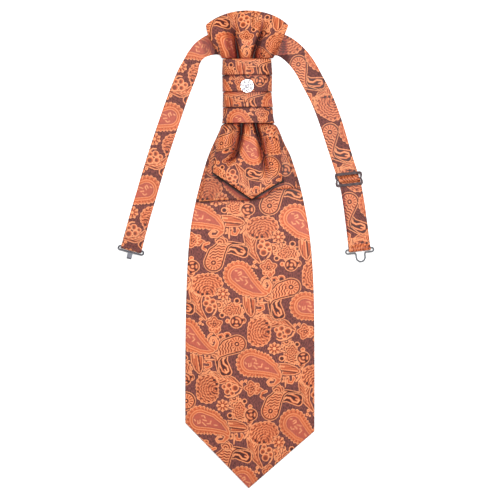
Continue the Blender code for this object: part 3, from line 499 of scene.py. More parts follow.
def blade_face(x, y):
    """The height of the blade's upper face, which what lies on it is made from."""
    left, right = (through(BLADE_SIDES, y, k) for k in (1, 2))
    share = (2 * x - left - right) / (right - left)
    return through(BLADE_FACE, y) + BLADE_CROWN * np.maximum(0, 1 - share**2)


def blade_chart(x, y):
    """Where the blade's silk comes from on the chart. The cloth widens a little towards the knot."""
    return (x - 1.4) / (1 + 0.1 * np.clip(1.727 + y / 148, 0, 1.2)) + 7.4, y + 141.8


def line_back(piece):
    """Turns the blade's edges over and closes its back with plain cloth, flat on the table."""
    bm = bmesh.new()
    bm.from_mesh(piece.data)
    rim = [edge for edge in bm.edges if edge.is_boundary]
    motif = bm.verts.layers.float["motif"]
    for inset, level in ((0.35, 0.75), (1.3, 1.0)):
        made = bmesh.ops.extrude_edge_only(bm, edges=rim)["geom"]
        rim = [part for part in made if isinstance(part, bmesh.types.BMEdge) and part.is_boundary]
        for vert in {vert for edge in rim for vert in edge.verts}:
            x, y = vert.co.x * 1000 - MIDDLE[0], vert.co.y * 1000 - MIDDLE[1]
            left, right = (through(BLADE_SIDES, np.array([y]), k)[0] for k in (1, 2))
            to = np.array(((left + right) / 2, np.clip(y, -270, 70))) - (x, y)
            x, y = (x, y) + to / np.hypot(*to) * (inset if level == 1 else 0.35)
            low = through(BLADE_BACK, np.array([y]))[0]
            vert.co = [(c + m) / 1000 for c, m in zip((x, y, vert.co.z * 1000 * (1 - level) + low * level), MIDDLE)]
            vert[motif] = -6.0
    bmesh.ops.holes_fill(bm, edges=rim, sides=0)
    bmesh.ops.triangulate(bm, faces=[face for face in bm.faces if len(face.verts) > 4])
    bmesh.ops.recalc_face_normals(bm, faces=bm.faces[:])
    bm.to_mesh(piece.data)
    bm.free()


blade_rows = spread((76, 0, 4), (0, -50, 1.6), (-50, BLADE_TIP[1], 0.68))
left, right = BLADE_SIDES[-1][1:]


def blade_hem(x):
    return np.interp(x, (left, BLADE_TIP[0], right), (BLADE_CORNERS[0], BLADE_TIP[1], BLADE_CORNERS[1]))


bm, u, v = grid(172, len(blade_rows) - 1)
v = 1 - v
x, y, share, off = panel(
    BLADE_SIDES, BLADE_TIP[1], blade_hem, -200, blade_rows, u, v, (BLADE_TIP[0] - left) / (right - left)
)
face, back = blade_face(x, y), through(BLADE_BACK, y)
half = np.sqrt(1 - (1 - np.clip(off / BLADE_EDGE, 0, 1)) ** 2)
middle = (face + back) / 2
set_places(bm, np.stack((x, y, middle + (face - middle) * half), axis=1))
across, along = blade_chart(x, y)
blade = finish_piece("blade_silk", bm, silk, "cravat")
under = np.interp(x, *zip(*UNDER_HEM)) - y
shadow = np.interp(x, (-20, 0, 20), (0.85, 0.6, 0.45)) * np.exp(-((under / 1.5) ** 2))
weave(blade, across, along, 1 - (1 - through(BLADE_SHADE, y)) * (1 - shadow))
line_back(blade)
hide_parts("blade")

# The under-flap. A short square-ended layer of the same silk, doubled, that hangs from the knot and lies on
# the blade, a little inside its edges.

PLY = 1.2
GAP = 0.3
UNDER_SIDES = [(28, -17.8, 17.8), (4, -18, 18), (0.5, -20, 20), (-2, -24, 24.5)]
for y in range(-8, -80, -8):
    inset = 2.8 * min(-y / 35, 1)
    UNDER_SIDES.append((y, through(BLADE_SIDES, y, 1) + inset, through(BLADE_SIDES, y, 2) - inset))


# The line of the flap's hem, along which the least light reaches the under-flap.
UNDER_SHADOW = [(-36, -42), (-33, -45.5), (3, -70.5), (31, -53.5)]


def lift_edge(off, reach=1.4, drop=0.5):
    """How much lower a cloth's folded edge lies than the cloth beside it."""
    return -drop * (1 - np.clip(off / reach, 0, 1)) ** 2


def thicken(piece, thickness):
    wall = piece.modifiers.new("second_ply", "SOLIDIFY")
    wall.thickness, wall.offset = thickness / 1000, -1


def under_face(x, y):
    return blade_face(x, y) + GAP + PLY


def under_hem(x):
    return np.interp(x, *zip(*UNDER_HEM))


rows = spread((28, 0, 4), (0, -72, 0.75))
bm, u, v = grid(118, len(rows) - 1)
x, y, share, off = panel(UNDER_SIDES, -72, under_hem, -20, rows, u, 1 - v)
set_places(bm, np.stack((x, y, under_face(x, y) + lift_edge(off)), axis=1))
under_flap = finish_piece("under_flap_silk", bm, silk, "cravat")
# Painted shade: a shadow along the flap's hem, and an even dimming over the whole under-flap.
below = np.abs(np.interp(x, *zip(*UNDER_SHADOW)) - y)
shadow = 0.9 * np.exp(-((below / np.interp(x, (-30, -10, 4, 12), (3.4, 4.4, 4.2, 2.6))) ** 1.6)) * (np.abs(x + 0.5) < 33.5)
weave(under_flap, x + 55.6, y + 106.6, 0.2 + shadow)
thicken(under_flap, PLY)
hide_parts("under_flap")

# The flap. A short pointed apron of doubled silk, gathered into the knot with a deep pleat on each side of
# its middle, so that it puffs up between them.

FLAP_SIDES = [
    (28, -17, 17), (4, -17.5, 17.5), (0, -19.5, 19.5), (-3, -23.5, 24.5), (-15, -28.3, 28.3), (-30, -31.5, 30.6),
    (-45, -33, 31), (-75, -33, 30.6),
]
FLAP_TIP, FLAP_CORNERS = (3.0, -70.0), (-45.0, -53.0)
FLAP_HOLLOW = [(28, 2.4), (0, 3.0), (-8, 6.2), (-22, 8.4), (-45, 6.6), (-70, 3.2)]
# Each pleat's line: y, x, depth as a share of the puff, half width.
FLAP_PLEATS = [
    [
        (28, -6.4, 0.95, 2.6), (0, -6.4, 1, 2.9), (-12, -7.0, 1, 2.5), (-24, -9.9, 0.9, 2.4), (-31, -13, 0.7, 3),
        (-36, -18, 0.3, 4), (-40, -24, 0, 5),
    ],
    [
        (28, 6.4, 0.95, 2.6), (0, 6.6, 1, 2.4), (-15, 10.4, 1, 2.3), (-27, 12.2, 0.75, 2.4), (-40, 14.6, 0.5, 2.6),
        (-52, 19, 0.1, 4), (-60, 22, 0, 5),
    ],
    [(28, -15, 0.3, 2), (0, -16, 0.35, 2), (-20, -20, 0.2, 2.6), (-42, -25, 0, 4)],
    [(28, 14, 0.3, 2), (0, 15.5, 0.35, 2), (-20, 20.5, 0.2, 2.6), (-38, 24, 0, 4)],
    [(28, -1, 0, 1.6), (0, -1, 0.3, 1.3), (-8, -2, 0.2, 1.6), (-18, -3, 0, 3)],
]
# Where less light reaches the flap beside its pleats: y, x, share, half width.
FLAP_BANKS = [
    [
        (28, -6.4, 1, 3), (0, -6.4, 1, 3), (-9, -6.8, 1, 2.3), (-16, -8.2, 0.95, 1.7), (-24, -9.8, 0.9, 1.5),
        (-31, -12.4, 0.85, 1.7), (-34, -17, 0.6, 2), (-37, -22, 0, 3),
    ],
    [
        (28, 6.4, 1, 3), (0, 6.4, 1, 2.6), (-7, 8, 1, 2.9), (-14, 10.2, 0.95, 1.8), (-22, 11.4, 0.8, 1.2),
        (-30, 12.4, 0.6, 1.2), (-40, 14.6, 0.6, 1.3), (-48, 17, 0.2, 1.8), (-54, 19, 0, 3),
    ],
    [(0, -12, 0, 3), (-8, -11.5, 0.35, 3), (-16, -12.8, 0.5, 3.4), (-28, -14.8, 0.5, 3), (-36, -19, 0.2, 4), (-40, -22, 0, 5)],
    [(0, 11, 0, 3), (-10, 13.6, 0.35, 2.5), (-18, 14.6, 0.5, 2.4), (-30, 16, 0.5, 2.2), (-40, 18, 0.45, 2.2), (-46, 19, 0, 4)],
]


def pleated(hollow, pleats, x, y):
    """The hollow under a puffed cloth, pinched in along each pleat."""
    for rows in pleats:
        middle, depth, width = (through(rows, y, k) for k in (1, 2, 3))
        hollow = hollow * (1 - depth * np.exp(-(np.abs((x - middle) / width) ** 2.4)))
    return hollow


def shaded(banks, x, y):
    """The share of light that each bank and the pleats between them hold back."""
    light = np.ones(x.shape)
    for rows in banks:
        middle, share, width = (through(rows, y, k) for k in (1, 2, 3))
        light = light * (1 - share * np.exp(-(np.abs((x - middle) / width) ** 3)))
    return 1 - light


def cloth_run(x, z, columns, middle):
    """How far each point is across its cloth from one column, measured over the pleats."""
    x, z = (np.reshape(a, (-1, columns + 1)) for a in (x, z))
    run = np.cumsum(np.hypot(np.diff(x, axis=1, prepend=x[:, :1]), np.diff(z, axis=1, prepend=z[:, :1])), axis=1)
    return (run - run[:, middle : middle + 1]).ravel()


def flap_hem(x):
    left_side = np.interp(x, (-33, FLAP_TIP[0]), (FLAP_CORNERS[0], FLAP_TIP[1]))
    fall = np.clip((x - FLAP_TIP[0]) / (30.6 - FLAP_TIP[0]), 0, 1) ** 0.9
    return np.where(x < FLAP_TIP[0], left_side, FLAP_TIP[1] + (FLAP_CORNERS[1] - FLAP_TIP[1]) * fall)


rows = spread((28, 2, 3), (2, FLAP_TIP[1], 0.5))
bm, u, v = grid(124, len(rows) - 1)
x, y, share, off = panel(FLAP_SIDES, FLAP_TIP[1], flap_hem, -8, rows, u, 1 - v, (FLAP_TIP[0] + 33) / 63.6)
hollow = through(FLAP_HOLLOW, y) * np.maximum(0, 1 - np.abs(share) ** 3)
z = under_face(x, y) + GAP + pleated(hollow, FLAP_PLEATS, x, y) + PLY + 0.3
z += 1.8 * np.exp(-((off / 9) ** 2)) * np.clip(-(y + 30) / 12, 0, 1)
set_places(bm, np.stack((x, y, z + lift_edge(off, 1.6, 0.5)), axis=1))
flap = finish_piece("flap_silk", bm, silk, "cravat")
run = cloth_run(x, z, 124, 62)
# Painted shade: a slight even dimming, the pleats' banks, and a shadow under the knot's lower edge.
shade = 1 - (1 - 0.05) * (1 - shaded(FLAP_BANKS, x, y)) * (1 - 0.85 * np.exp(np.minimum(0, y) / 1.6))
weave(flap, 0.8 - 1.12 * (run + 1.6), -1.2 * (y + 26.2), shade)
thicken(flap, 1.4)
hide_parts("flap")

# The ruff. The upper end of the gathered cloth, doubled, that fans out above the knot over the neck band to
# an arched edge, with two deep pleats.

RUFF_SIDES = [
    (31, -17.5, 15.5), (59.6, -18.4, 16.4), (60.4, -24, 22.2), (62, -25.4, 23.6), (65.5, -28.2, 26.6),
    (77, -34.6, 31.2), (84, -38, 34.2), (92.5, -39.5, 37.3), (105, -40.5, 39.4),
]
RUFF_REST = [(31, 5.6), (60, 5.4), (77, 5), (84.5, 2.4), (94, 0.8), (105, 0.4)]
RUFF_HOLLOW = [(31, 2.4), (60, 3.0), (67, 6.2), (76, 7.6), (90, 6), (105, 3)]
RUFF_PLEATS = [
    [(31, -9, 0.95, 2.2), (60, -9.4, 1, 2.3), (73, -11.4, 0.9, 2.3), (84, -12.6, 0.6, 2.6), (95, -13.4, 0.1, 4), (100, -14, 0, 5)],
    [(31, 4, 0.95, 2.4), (61, 4.6, 1, 2.6), (71, 7.2, 1, 2.3), (81, 10.4, 0.75, 2.2), (91, 12.6, 0.3, 2.6), (99, 13.6, 0, 4)],
    [(31, -18, 0.3, 2), (60, -18, 0.4, 1.8), (76, -22, 0.3, 2.2), (92, -27, 0, 4)],
    [(31, 14, 0.3, 2), (60, 14.6, 0.4, 1.8), (76, 18, 0.3, 2.4), (92, 23, 0, 4)],
    [(60, -1, 0, 2), (84, 3.2, 0, 1.6), (92, 4.2, 0.25, 1.1), (100, 4.4, 0.2, 1.2), (105, 4.4, 0, 2)],
]
# Where less light reaches the ruff beside its pleats: y, x, share, half width.
RUFF_BANKS = [
    [
        (31, -9, 1, 3), (60, -9.6, 1, 2.4), (70, -10.8, 1, 1.8), (78, -12, 0.9, 1.3), (86, -12.8, 0.6, 1.1),
        (95, -13.4, 0.1, 2), (100, -14, 0, 4),
    ],
    [
        (31, 4, 1, 3), (61, 5, 1, 2.6), (68, 5.6, 0.9, 2.2), (74, 7.6, 0.85, 1.4), (82, 10.6, 0.8, 1.1),
        (90, 12.4, 0.6, 1), (97, 13.4, 0, 2),
    ],
    [(56, -15, 0.4, 4), (66, -15, 0.5, 4.4), (82, -17, 0.5, 4.4), (92, -19, 0.15, 5), (98, -19, 0, 5)],
    [(56, 9, 0.4, 3), (66, 9.6, 0.5, 3.4), (78, 12, 0.45, 3.4), (88, 14, 0.3, 4), (96, 15, 0, 5)],
    [(60, 4.2, 0, 2), (84, 4.2, 0, 1.6), (90, 4.2, 0.3, 0.8), (100, 4.4, 0.3, 0.8), (105, 4.4, 0.1, 1)],
    [(56, -24, 0.5, 3), (64, -26, 0.4, 3.4), (74, -31, 0.2, 4), (86, -36, 0, 4)],
    [(56, 22, 0.5, 3), (64, 24, 0.4, 3.4), (74, 29, 0.2, 4), (86, 34, 0, 4)],
]


# The ruff's middle on the chart.
RUFF_CUT = (23.0, 12.0)


def ruff_hem(x):
    reach = np.minimum(np.abs(x + 0.8), 65)
    return 104.8 - 66 + np.sqrt(66**2 - reach**2)


rows = spread((31, 57, 4), (57, 104.8, 0.5))
bm, u, v = grid(150, len(rows) - 1)
x, y, share, off = panel(RUFF_SIDES, 104.8, ruff_hem, 66, rows, u, v)
off = np.minimum(np.minimum(u, 1 - u) * 70, (ruff_hem(x) - y))
hollow = through(RUFF_HOLLOW, y) * np.maximum(0.08, 1 - np.abs(share) ** 3)
z = through(RUFF_REST, y) + pleated(hollow, RUFF_PLEATS, x, y) + 2.0
set_places(bm, np.stack((x, y, z + lift_edge(off, 1.6, 0.6)), axis=1))
ruff = finish_piece("ruff_silk", bm, silk, "cravat")
run = cloth_run(x, z, 150, 75)
# Painted shade: the pleats' banks, and a shadow just above the knot's upper edge.
shade = 1 - (1 - shaded(RUFF_BANKS, x, y)) * (1 - 0.7 * np.exp(np.minimum(0, 59.8 - y) / 1.4))
weave(ruff, RUFF_CUT[0] + 1.1 * run, RUFF_CUT[1] + 1.15 * (y - 82), shade)
thicken(ruff, 1.6)
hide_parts("ruff")

# The knot. Four bands of folded silk, each wrapped once round the gathered cloth and sewn behind it. The
# upper edge of each is tucked under the band above, and its folded lower edge stands proud.

KNOT_SIDES = [(60, -24.2, 21.4), (44.5, -24.5, 22.2), (29, -23.9, 21.8), (14.8, -23.9, 22.7), (5, -23.9, 23.4), (0, -24.4, 24.4)]
BAND_EDGES = [59.8, 44.6, 29.2, 14.8, 0.0]
KNOT_HEIGHT, KNOT_WAIST = 13.8, 4.6
BAND_WALL, BAND_FLARE, BAND_BACK_FLARE, BAND_TUCK = 1.2, 1.25, 0.3, 2.2


def close_up(piece):
    """Joins a tube of cloth along its seam."""
    bm = bmesh.new()
    bm.from_mesh(piece.data)
    bmesh.ops.remove_doubles(bm, verts=bm.verts[:], dist=0.00002)
    bmesh.ops.recalc_face_normals(bm, faces=bm.faces[:])
    bm.to_mesh(piece.data)
    bm.free()


def knot_places(angle, y, out):
    """Points round the knot, out millimetres outside the gathered cloth that the bands hold."""
    left, right = (through(KNOT_SIDES, y, k) for k in (1, 2))
    inside = (right - left) / 2 - BAND_WALL - BAND_BACK_FLARE
    c, s = np.cos(angle), np.sin(angle)
    power = np.where(s >= 0, 2.5, 5.0)
    rise = np.where(
        s >= 0,
        KNOT_HEIGHT - BAND_WALL - BAND_FLARE - KNOT_WAIST,
        KNOT_WAIST - BAND_WALL - BAND_BACK_FLARE,
    )
    x = np.copysign(np.abs(c) ** (2 / power), c)
    z = np.copysign(np.abs(s) ** (2 / power), s)
    return np.stack(((left + right) / 2 + (inside + out) * x, y, KNOT_WAIST + (rise + out) * z), axis=1)


# Each band's middle on the chart, mm across and up, and how many mm of the silk a mm of the band shows.
BAND_CUTS = [(13.2, -24, 1.15), (-18, -44, 1.15), (-20, -75, 1.15), (8, 8, 1.15)]
for number in range(4):
    top, bottom = BAND_EDGES[number], BAND_EDGES[number + 1]
    bm, u, v = grid(260, 50)
    angle = 2 * math.pi * u
    front = np.clip((np.sin(angle) - 0.35) / 0.3, 0, 1)
    flare = BAND_BACK_FLARE + (BAND_FLARE - BAND_BACK_FLARE) * front
    tuck = BAND_TUCK * (front > 0.999) * (number > 0) - GAP / 2
    # The band's section, from its tucked edge down its face, round the lower fold, up its back and over.
    stops = [0, 0.06, 0.36, 0.62, 0.72, 0.75, 0.78, 0.84, 0.9, 0.98, 1]
    down = [top + tuck, top - 1 + 0 * u, (top + bottom) / 2 + 0 * u, bottom + 3.2 + 0 * u, bottom + 0.8 + 0 * u]
    down += [bottom + GAP / 2 + 0 * u, bottom + 0.8 + 0 * u, bottom + 2.8 + 0 * u, bottom + 4.6 + 0 * u]
    down += [top + tuck - 0.3, top + tuck]
    out = [0.75 * BAND_WALL + 0 * u, BAND_WALL + 0 * u, BAND_WALL + 0.25 * flare, BAND_WALL + 0.8 * flare, BAND_WALL + flare]
    out += [0.5 * BAND_WALL + flare, flare, flare, 0 * u, 0 * u, 0.75 * BAND_WALL + 0 * u]
    down, out = np.array(down), np.array(out)
    k = np.clip(np.searchsorted(stops, v, "right") - 1, 0, len(stops) - 2)
    t = (v - np.array(stops)[k]) / np.diff(stops)[k]
    each = np.arange(len(u))
    y = down[k, each] * (1 - t) + down[k + 1, each] * t
    lift = out[k, each] * (1 - t) + out[k + 1, each] * t
    places = knot_places(angle, y, lift)
    set_places(bm, places)
    band = finish_piece(f"knot_band_{number + 1}_silk", bm, silk, "cravat")
    cut_x, cut_y, scale = BAND_CUTS[number]
    run = cloth_run(places[:, 0], places[:, 2], 260, 65)
    # Painted shade: a shadow under the band above, a dark line along the lower fold, an even dimming over the band, and
    # darker ends where it turns away round the knot.
    edge = 0.75 * np.exp(-np.maximum(0, top - y) / 1.1) * (number > 0) + 0.55 * np.exp(-np.maximum(0, y - bottom) / 0.5)
    ends = 0.5 * np.clip((np.abs(places[:, 0]) - 19.5) / 5, 0, 1) ** 2
    shade = 1 - (1 - 0.12) * (1 - np.minimum(edge, 1)) * (1 - ends)
    weave(band, cut_x - scale * run, cut_y + scale * (y - (top + bottom) / 2), shade)
    close_up(band)
    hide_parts(f"knot_band_{number + 1}")

# The neck band. Two straps of folded silk, sewn together behind the ruff. The left one turns round the
# hook's bar, and the right one runs through the slide, round the eye's wire and back behind itself.

STRAP_THICK, FOLD_RUN, WIRE, TURN_BACK = 1.2, 5.0, 1.6, 15.0
LEFT_ROUTE = [
    (-1.0, 74.0), (-21.8, 74.0), (-33.3, 73.6), (-42.6, 69.6), (-48.8, 63.8), (-52.6, 57.0), (-55.8, 48.8),
    (-60.1, 38.6), (-66.5, 21.8), (-74.2, -0.4), (-81.6, -22.6), (-88.5, -44.8), (-95.0, -67.0),
    (-101.5, -89.2), (-108.9, -117.6),
]
LEFT_WIDTHS = [(74.2, 20), (70, 17.2), (63.8, 14.8), (57, 15.4), (48.8, 18), (30, 18.7), (-118, 19.4)]
RIGHT_ROUTE = [
    (-0.7, 74.0), (19.8, 74.0), (31.8, 72.2), (42.5, 64.6), (51.2, 54.2), (58.8, 40.8), (68.5, 21.8),
    (76.8, -0.4), (83.7, -22.6), (89.6, -41.1), (92.9, -51.2), (95.4, -61.3), (97.3, -72.4), (98.9, -84.0),
    (101.0, -100.0), (103.0, -118.0),
]
RIGHT_WIDTHS = [(74.2, 20.6), (40, 20.8), (0, 20.8), (-30, 20), (-45, 19.7), (-60, 19.7), (-118, 20.4)]
SLIDE_Y, SLIDE_REACH = -51.2, 5.2
# The slide sits turned on its strap, which crosses it along the turned line within SKEW_FULL of its middle
# bar and is straight again past SKEW_END.
SLIDE_TURN, SKEW_FULL, SKEW_END = math.radians(-10), 9.0, 20.0
# Painted shade on the straps, in their tucks beside the ruff and along the right strap's left edge lower down: y, x,
# share, half width.
LEFT_TUCKS = [
    [(56, -30, 0, 3), (62, -30, 0.7, 3.5), (70, -34, 0.75, 3.2), (76, -37, 0.6, 3), (84, -40, 0, 4)],
    [(60, -38, 0, 3), (67, -39, 0.3, 3), (74, -41, 0.5, 1.8), (80, -42, 0, 3)],
]
RIGHT_TUCKS = [
    [(52, 26, 0, 3), (58, 27, 0.7, 3.5), (68, 31, 0.6, 3), (76, 33, 0.5, 2.6), (86, 36, 0, 4)],
    [(52, 36, 0, 3), (58, 35, 0.5, 2.4), (66, 34, 0.6, 2.6), (76, 33, 0.3, 3), (82, 34, 0, 4)],
    [(-106, 92, 0, 1), (-98, 91.2, 0.6, 1.4), (-80, 89, 0.5, 1.4), (-68, 87.8, 0.6, 1.6), (-60, 87, 0, 1)],
]
# The strap's height as it goes under the slide's outer bars and over its middle one.
SLIDE_CROSSING = [
    (-5, 0.6), (-3.6, 0.65), (-2.75, 1.45), (-2.15, 2.75), (-1.65, 3.8), (-0.9, 4.4), (0, 4.55), (0.9, 4.5),
    (1.7, 3.9), (2.3, 2.8), (3, 2.2), (3.8, 2.1), (6.4, 2.1),
]


def plan_curve(route):
    """A smooth curve through a route: its points and the length down to each."""
    points = np.array(route)
    ahead = np.vstack((points[1:], points[-1:]))
    behind = np.vstack((points[:1], points[:-1]))
    slopes = (ahead - behind) / 2
    t = (np.arange(24) / 24)[:, None]
    fine = [
        a * (2 * t**3 - 3 * t**2 + 1) + b * (3 * t**2 - 2 * t**3) + sa * (t**3 - 2 * t**2 + t) + sb * (t**3 - t**2)
        for a, b, sa, sb in zip(points, points[1:], slopes, slopes[1:])
    ]
    fine = np.vstack((*fine, points[-1:]))
    return fine, np.concatenate(([0], np.cumsum(np.hypot(*np.diff(fine, axis=0).T))))


def on_curve(curve, length):
    """Places and headings on a plan curve at each length along it, going straight on past its end."""
    fine, lengths = curve
    i = np.clip(np.searchsorted(lengths, length, "right") - 1, 0, len(fine) - 2)
    run = np.diff(fine, axis=0)
    run = run / np.hypot(*run.T)[:, None]
    middles = (lengths[1:] + lengths[:-1]) / 2
    heading = np.stack([np.interp(length, middles, run[:, k]) for k in (0, 1)], axis=1)
    return fine[i] + run[i] * (length - lengths[i])[:, None], heading


def skew(length, slide):
    """How far a strap's rows lean along it, for each millimetre across, where it runs through the slide."""
    share = np.clip((SKEW_END - abs(length - slide)) / (SKEW_END - SKEW_FULL), 0, 1)
    return math.tan(SLIDE_TURN) * share**2 * (3 - 2 * share)


def ramp(start, end, low, high, rows=12):
    """Side points that rise gently from one height to another."""
    t = np.arange(rows + 1) / rows
    return list(zip(start + (end - start) * t, low + (high - low) * (1 - np.cos(math.pi * t)) / 2))


def fold_round(length, height, radius):
    """Side points of the strap's turn round a wire, from over it to under it."""
    turns = np.pi * np.arange(1, 16) / 16
    return list(zip(length + radius * np.sin(turns), height + radius * np.cos(turns)))


def strap(name, curve, side, widths, cut, tucks, slide=math.inf):
    """A folded strap: a flattened tube swept along its side points, (length along the curve, height)."""
    side = np.array(side)
    arc = np.concatenate(([0], np.cumsum(np.hypot(*np.diff(side, axis=0).T))))
    bm, u, v = grid(66, round(arc[-1] / 0.62))
    run = v * arc[-1]
    length, height = (np.interp(run, arc, side[:, k]) for k in (0, 1))
    tilt = np.stack([np.interp(run, (arc[1:] + arc[:-1]) / 2, np.diff(side[:, k]) / np.diff(arc)) for k in (0, 1)])
    tilt = tilt / np.hypot(*tilt)
    # The silk's two edges meet in a seam along the strap's underside.
    turn = np.mod(u + 0.75, 1)
    across = np.interp(turn, (0, 0.03, 0.25, 0.47, 0.5, 0.53, 0.75, 0.97, 1), (1, 0.985, 0, -0.985, -1, -0.985, 0, 0.985, 1))
    across = across + 0.01 * (u < 0.001) - 0.01 * (u > 0.999)
    lift = np.interp(turn, (0, 0.03, 0.06, 0.44, 0.47, 0.5, 0.53, 0.56, 0.94, 0.97, 1), (0, 0.8, 1, 1, 0.8, 0, -0.8, -1, -1, -0.8, 0))
    pressed = np.clip(np.minimum(run, arc[-1] - run) / 1.2, 0.12, 1)
    lift = lift * pressed * STRAP_THICK / 2
    length = length - tilt[1] * lift
    aside = across * through(widths, on_curve(curve, length)[0][:, 1]) / 2
    ground, heading = on_curve(curve, length + skew(length, slide) * aside)
    x, y = ground[:, 0] + heading[:, 1] * aside, ground[:, 1] - heading[:, 0] * aside
    set_places(bm, np.stack((x, y, height + tilt[0] * lift), axis=1))
    piece = finish_piece(name, bm, silk, "cravat")
    # The cut's last value is a painted shade, even over the whole strap, under the painted shade of the tucks.
    start_x, start_y, bias, dim = cut
    c, s = math.cos(math.radians(bias)), math.sin(math.radians(bias))
    weave(piece, start_x + s * run - c * aside, start_y - c * run - s * aside, 1 - (1 - dim) * (1 - shaded(tucks, x, y)))
    return piece, arc[-1]


half = STRAP_THICK / 2
turn = WIRE / 2 + GAP + half
wire_z, front_z = half + turn, STRAP_THICK + GAP + half

curve = plan_curve(LEFT_ROUTE)
total = curve[1][-1]
wire = total - turn - half
side = [(0.0, half)] + ramp(total - TURN_BACK - 14, wire - FOLD_RUN, half, front_z)
side += ramp(wire - FOLD_RUN, wire, front_z, wire_z + turn)[1:] + fold_round(wire, wire_z, turn)
side += [(wire, half), (total - TURN_BACK, half)]
left_strap, length = strap("left_strap_silk", curve, side, LEFT_WIDTHS, (-115.3, -216.0, 138.2, 0.06), LEFT_TUCKS)
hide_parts("neck_band_left")
hook_place = on_curve(curve, np.array([wire]))

curve = plan_curve(RIGHT_ROUTE)
total = curve[1][-1]
wire = total - turn - half
fine, lengths = curve
slide = lengths[np.nonzero(fine[:, 1] <= SLIDE_Y)[0][0]]
side = [(0.0, half), (slide - SLIDE_REACH - 1.5, half)]
side += [(slide + along_, height) for along_, height in SLIDE_CROSSING]
side += [(wire - FOLD_RUN, front_z)] + ramp(wire - FOLD_RUN, wire, front_z, wire_z + turn)[1:]
side += fold_round(wire, wire_z, turn) + [(wire, half), (slide + 1.5, half)]
right_strap, length = strap("right_strap_silk", curve, side, RIGHT_WIDTHS, (82.6, 29.8, -41.8, 0.12), RIGHT_TUCKS, slide)
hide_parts("neck_band_right")

# The fittings. The hook and the eye are bent from nickelled steel wire, and the slide is stamped from steel
# and enamelled brown. They are the frame's own solids, with their finish laid on.


def wire_finish(name, code, roughness, metallic, grain):
    """A metal or enamelled surface with a slight grain: darker and rougher where handling has dulled it."""
    made, tree, shader = new_material(name, roughness, metallic)
    place = add(tree, "ShaderNodeTexCoord").outputs[3]
    cloud = add(tree, "ShaderNodeTexNoise", i0=place, i2=grain, i3=4.0).outputs[0]
    tint = colour(code)
    low, high = (tuple(c * k for c in tint[:3]) + (1.0,) for k in (0.72, 1.12))
    paint = add(tree, "ShaderNodeMix", {"data_type": "RGBA"}, i0=cloud, i6=low, i7=high).outputs[2]
    gloss = add(tree, "ShaderNodeMapRange", i0=cloud, i1=0.3, i2=0.7, i3=roughness * 1.3, i4=roughness * 0.8).outputs[0]
    tree.links.new(paint, shader.inputs["Base Color"])
    tree.links.new(gloss, shader.inputs["Roughness"])
    scratch = add(tree, "ShaderNodeTexNoise", i0=place, i2=grain * 6, i3=2.0).outputs[0]
    bump = add(tree, "ShaderNodeBump", i0=0.3, i1=0.00004, i3=scratch).outputs[0]
    tree.links.new(bump, shader.inputs["Normal"])
    return made


nickel = wire_finish("nickelled_steel_wire", "707276", 0.36, 1.0, 350)
# The hook's copy of the nickel is rougher, and darker for a painted shade.
dull_shaded_nickel = wire_finish("dull_shaded_nickelled_steel", "5c5c62", 0.42, 1.0, 350)
enamel = wire_finish("brown_enamelled_steel", "30171c", 0.5, 0.0, 300)
enamel.node_tree.nodes["Principled BSDF"].inputs["Specular IOR Level"].default_value = 0.3
for name, finish in (("hook", dull_shaded_nickel), ("eye", nickel), ("slide", enamel)):
    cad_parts[name].material_slots[0].material = finish

# The pin on the knot. A ring of cut crystals round a middle one, each held in a small cup of a white-metal
# setting, whose stem goes through the silk.

STONE_FACET = 0.9


def cut_crystal():
    """Cut glass over a foil back: small flat facets whose reflections are painted, each facet its own grey, a few with
    a violet flash of fire.
    """
    made, tree, shader = new_material("foiled_cut_crystal", 0.12)
    place = add(tree, "ShaderNodeTexCoord").outputs[3]
    facets = add(tree, "ShaderNodeTexVoronoi", {"feature": "F1"}, i0=place, i2=1000 / STONE_FACET)
    parts = add(tree, "ShaderNodeSeparateColor", i0=facets.outputs[1])
    # Painted reflection: each facet's grey and the violet flashes of fire are painted into the colour.
    light = add(tree, "ShaderNodeMapRange", {"interpolation_type": "SMOOTHSTEP"}, i0=parts.outputs[0], i1=0.05, i2=0.6, i3=0.0, i4=1.0)
    painted_fire = add(tree, "ShaderNodeMapRange", i0=parts.outputs[1], i1=0.8, i2=0.9, i3=0.0, i4=0.35).outputs[0]
    shade = {"data_type": "RGBA"}
    paint = add(tree, "ShaderNodeMix", shade, i0=light.outputs[0], i6=colour("60606a"), i7=colour("aaa6a4")).outputs[2]
    paint = add(tree, "ShaderNodeMix", shade, i0=painted_fire, i6=paint, i7=colour("9a8cc0")).outputs[2]
    tree.links.new(paint, shader.inputs["Base Color"])
    bump = add(tree, "ShaderNodeBump", i0=0.8, i1=0.0002, i3=facets.outputs[0]).outputs[0]
    tree.links.new(bump, shader.inputs["Normal"])
    return made


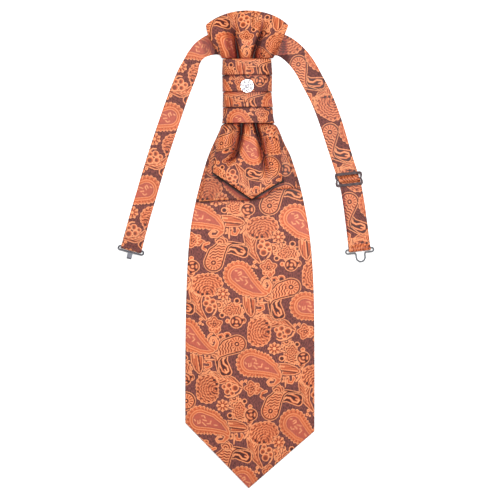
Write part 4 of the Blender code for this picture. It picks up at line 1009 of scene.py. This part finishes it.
crystal = cut_crystal()
white_metal = wire_finish("rhodium_plated_setting", "c8c8cc", 0.3, 1.0, 900)
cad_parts["pin_setting"].material_slots[0].material = white_metal
for number in range(8):
    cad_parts[f"pin_stone_{number}"].material_slots[0].material = crystal

# The table, the lights and the camera, which looks straight down on the middle of the cravat.

floor_mesh = bmesh.new()
bmesh.ops.create_grid(floor_mesh, x_segments=1, y_segments=1, size=3.0)
bmesh.ops.translate(floor_mesh, vec=(0, 0, -0.0002), verts=floor_mesh.verts[:])
# Matt white paper, with a very faint mottle of its pulp.
paper, tree, shader = new_material("matt_white_paper", 0.9)
pulp = add(tree, "ShaderNodeTexNoise", i0=add(tree, "ShaderNodeTexCoord").outputs[3], i2=60.0, i3=3.0).outputs[0]
whites = {"i6": colour("f7f7f7"), "i7": colour("f9f9f9")}
tint = add(tree, "ShaderNodeMix", {"data_type": "RGBA"}, i0=pulp, **whites).outputs[2]
tree.links.new(tint, shader.inputs["Base Color"])
data = bpy.data.meshes.new("floor")
floor_mesh.to_mesh(data)
floor_mesh.free()
data.materials.append(paper)
floor = bpy.data.objects.new("floor", data)
bpy.context.scene.collection.objects.link(floor)

for name, place, size, power in (("key", (0.1, 0.2, 0.78), 0.3, 6.2), ("fill", (-0.5, -0.1, 1.2), 0.9, 2.0)):
    lamp = bpy.data.lights.new(name, "AREA")
    lamp.size, lamp.energy = size, power
    light = bpy.data.objects.new(name, lamp)
    light.location = place
    light.rotation_euler = (-light.location).to_track_quat("-Z", "Y").to_euler()
    bpy.context.scene.collection.objects.link(light)

world = bpy.data.worlds.new("studio")
world.use_nodes = True
world.node_tree.nodes["Background"].inputs[0].default_value = (1, 1, 1, 1)
world.node_tree.nodes["Background"].inputs[1].default_value = 1.05
bpy.context.scene.world = world
bpy.context.scene.view_settings.view_transform = "Standard"

VIEW_WIDTH = 0.4626
lens = bpy.data.cameras.new("camera")
lens.sensor_width, lens.lens = 36.0, 200.0
camera = bpy.data.objects.new("camera", lens)
camera.location = (0.00367, -0.0005, VIEW_WIDTH * 200 / 36 + 0.004)
bpy.context.scene.collection.objects.link(camera)
bpy.context.scene.camera = camera
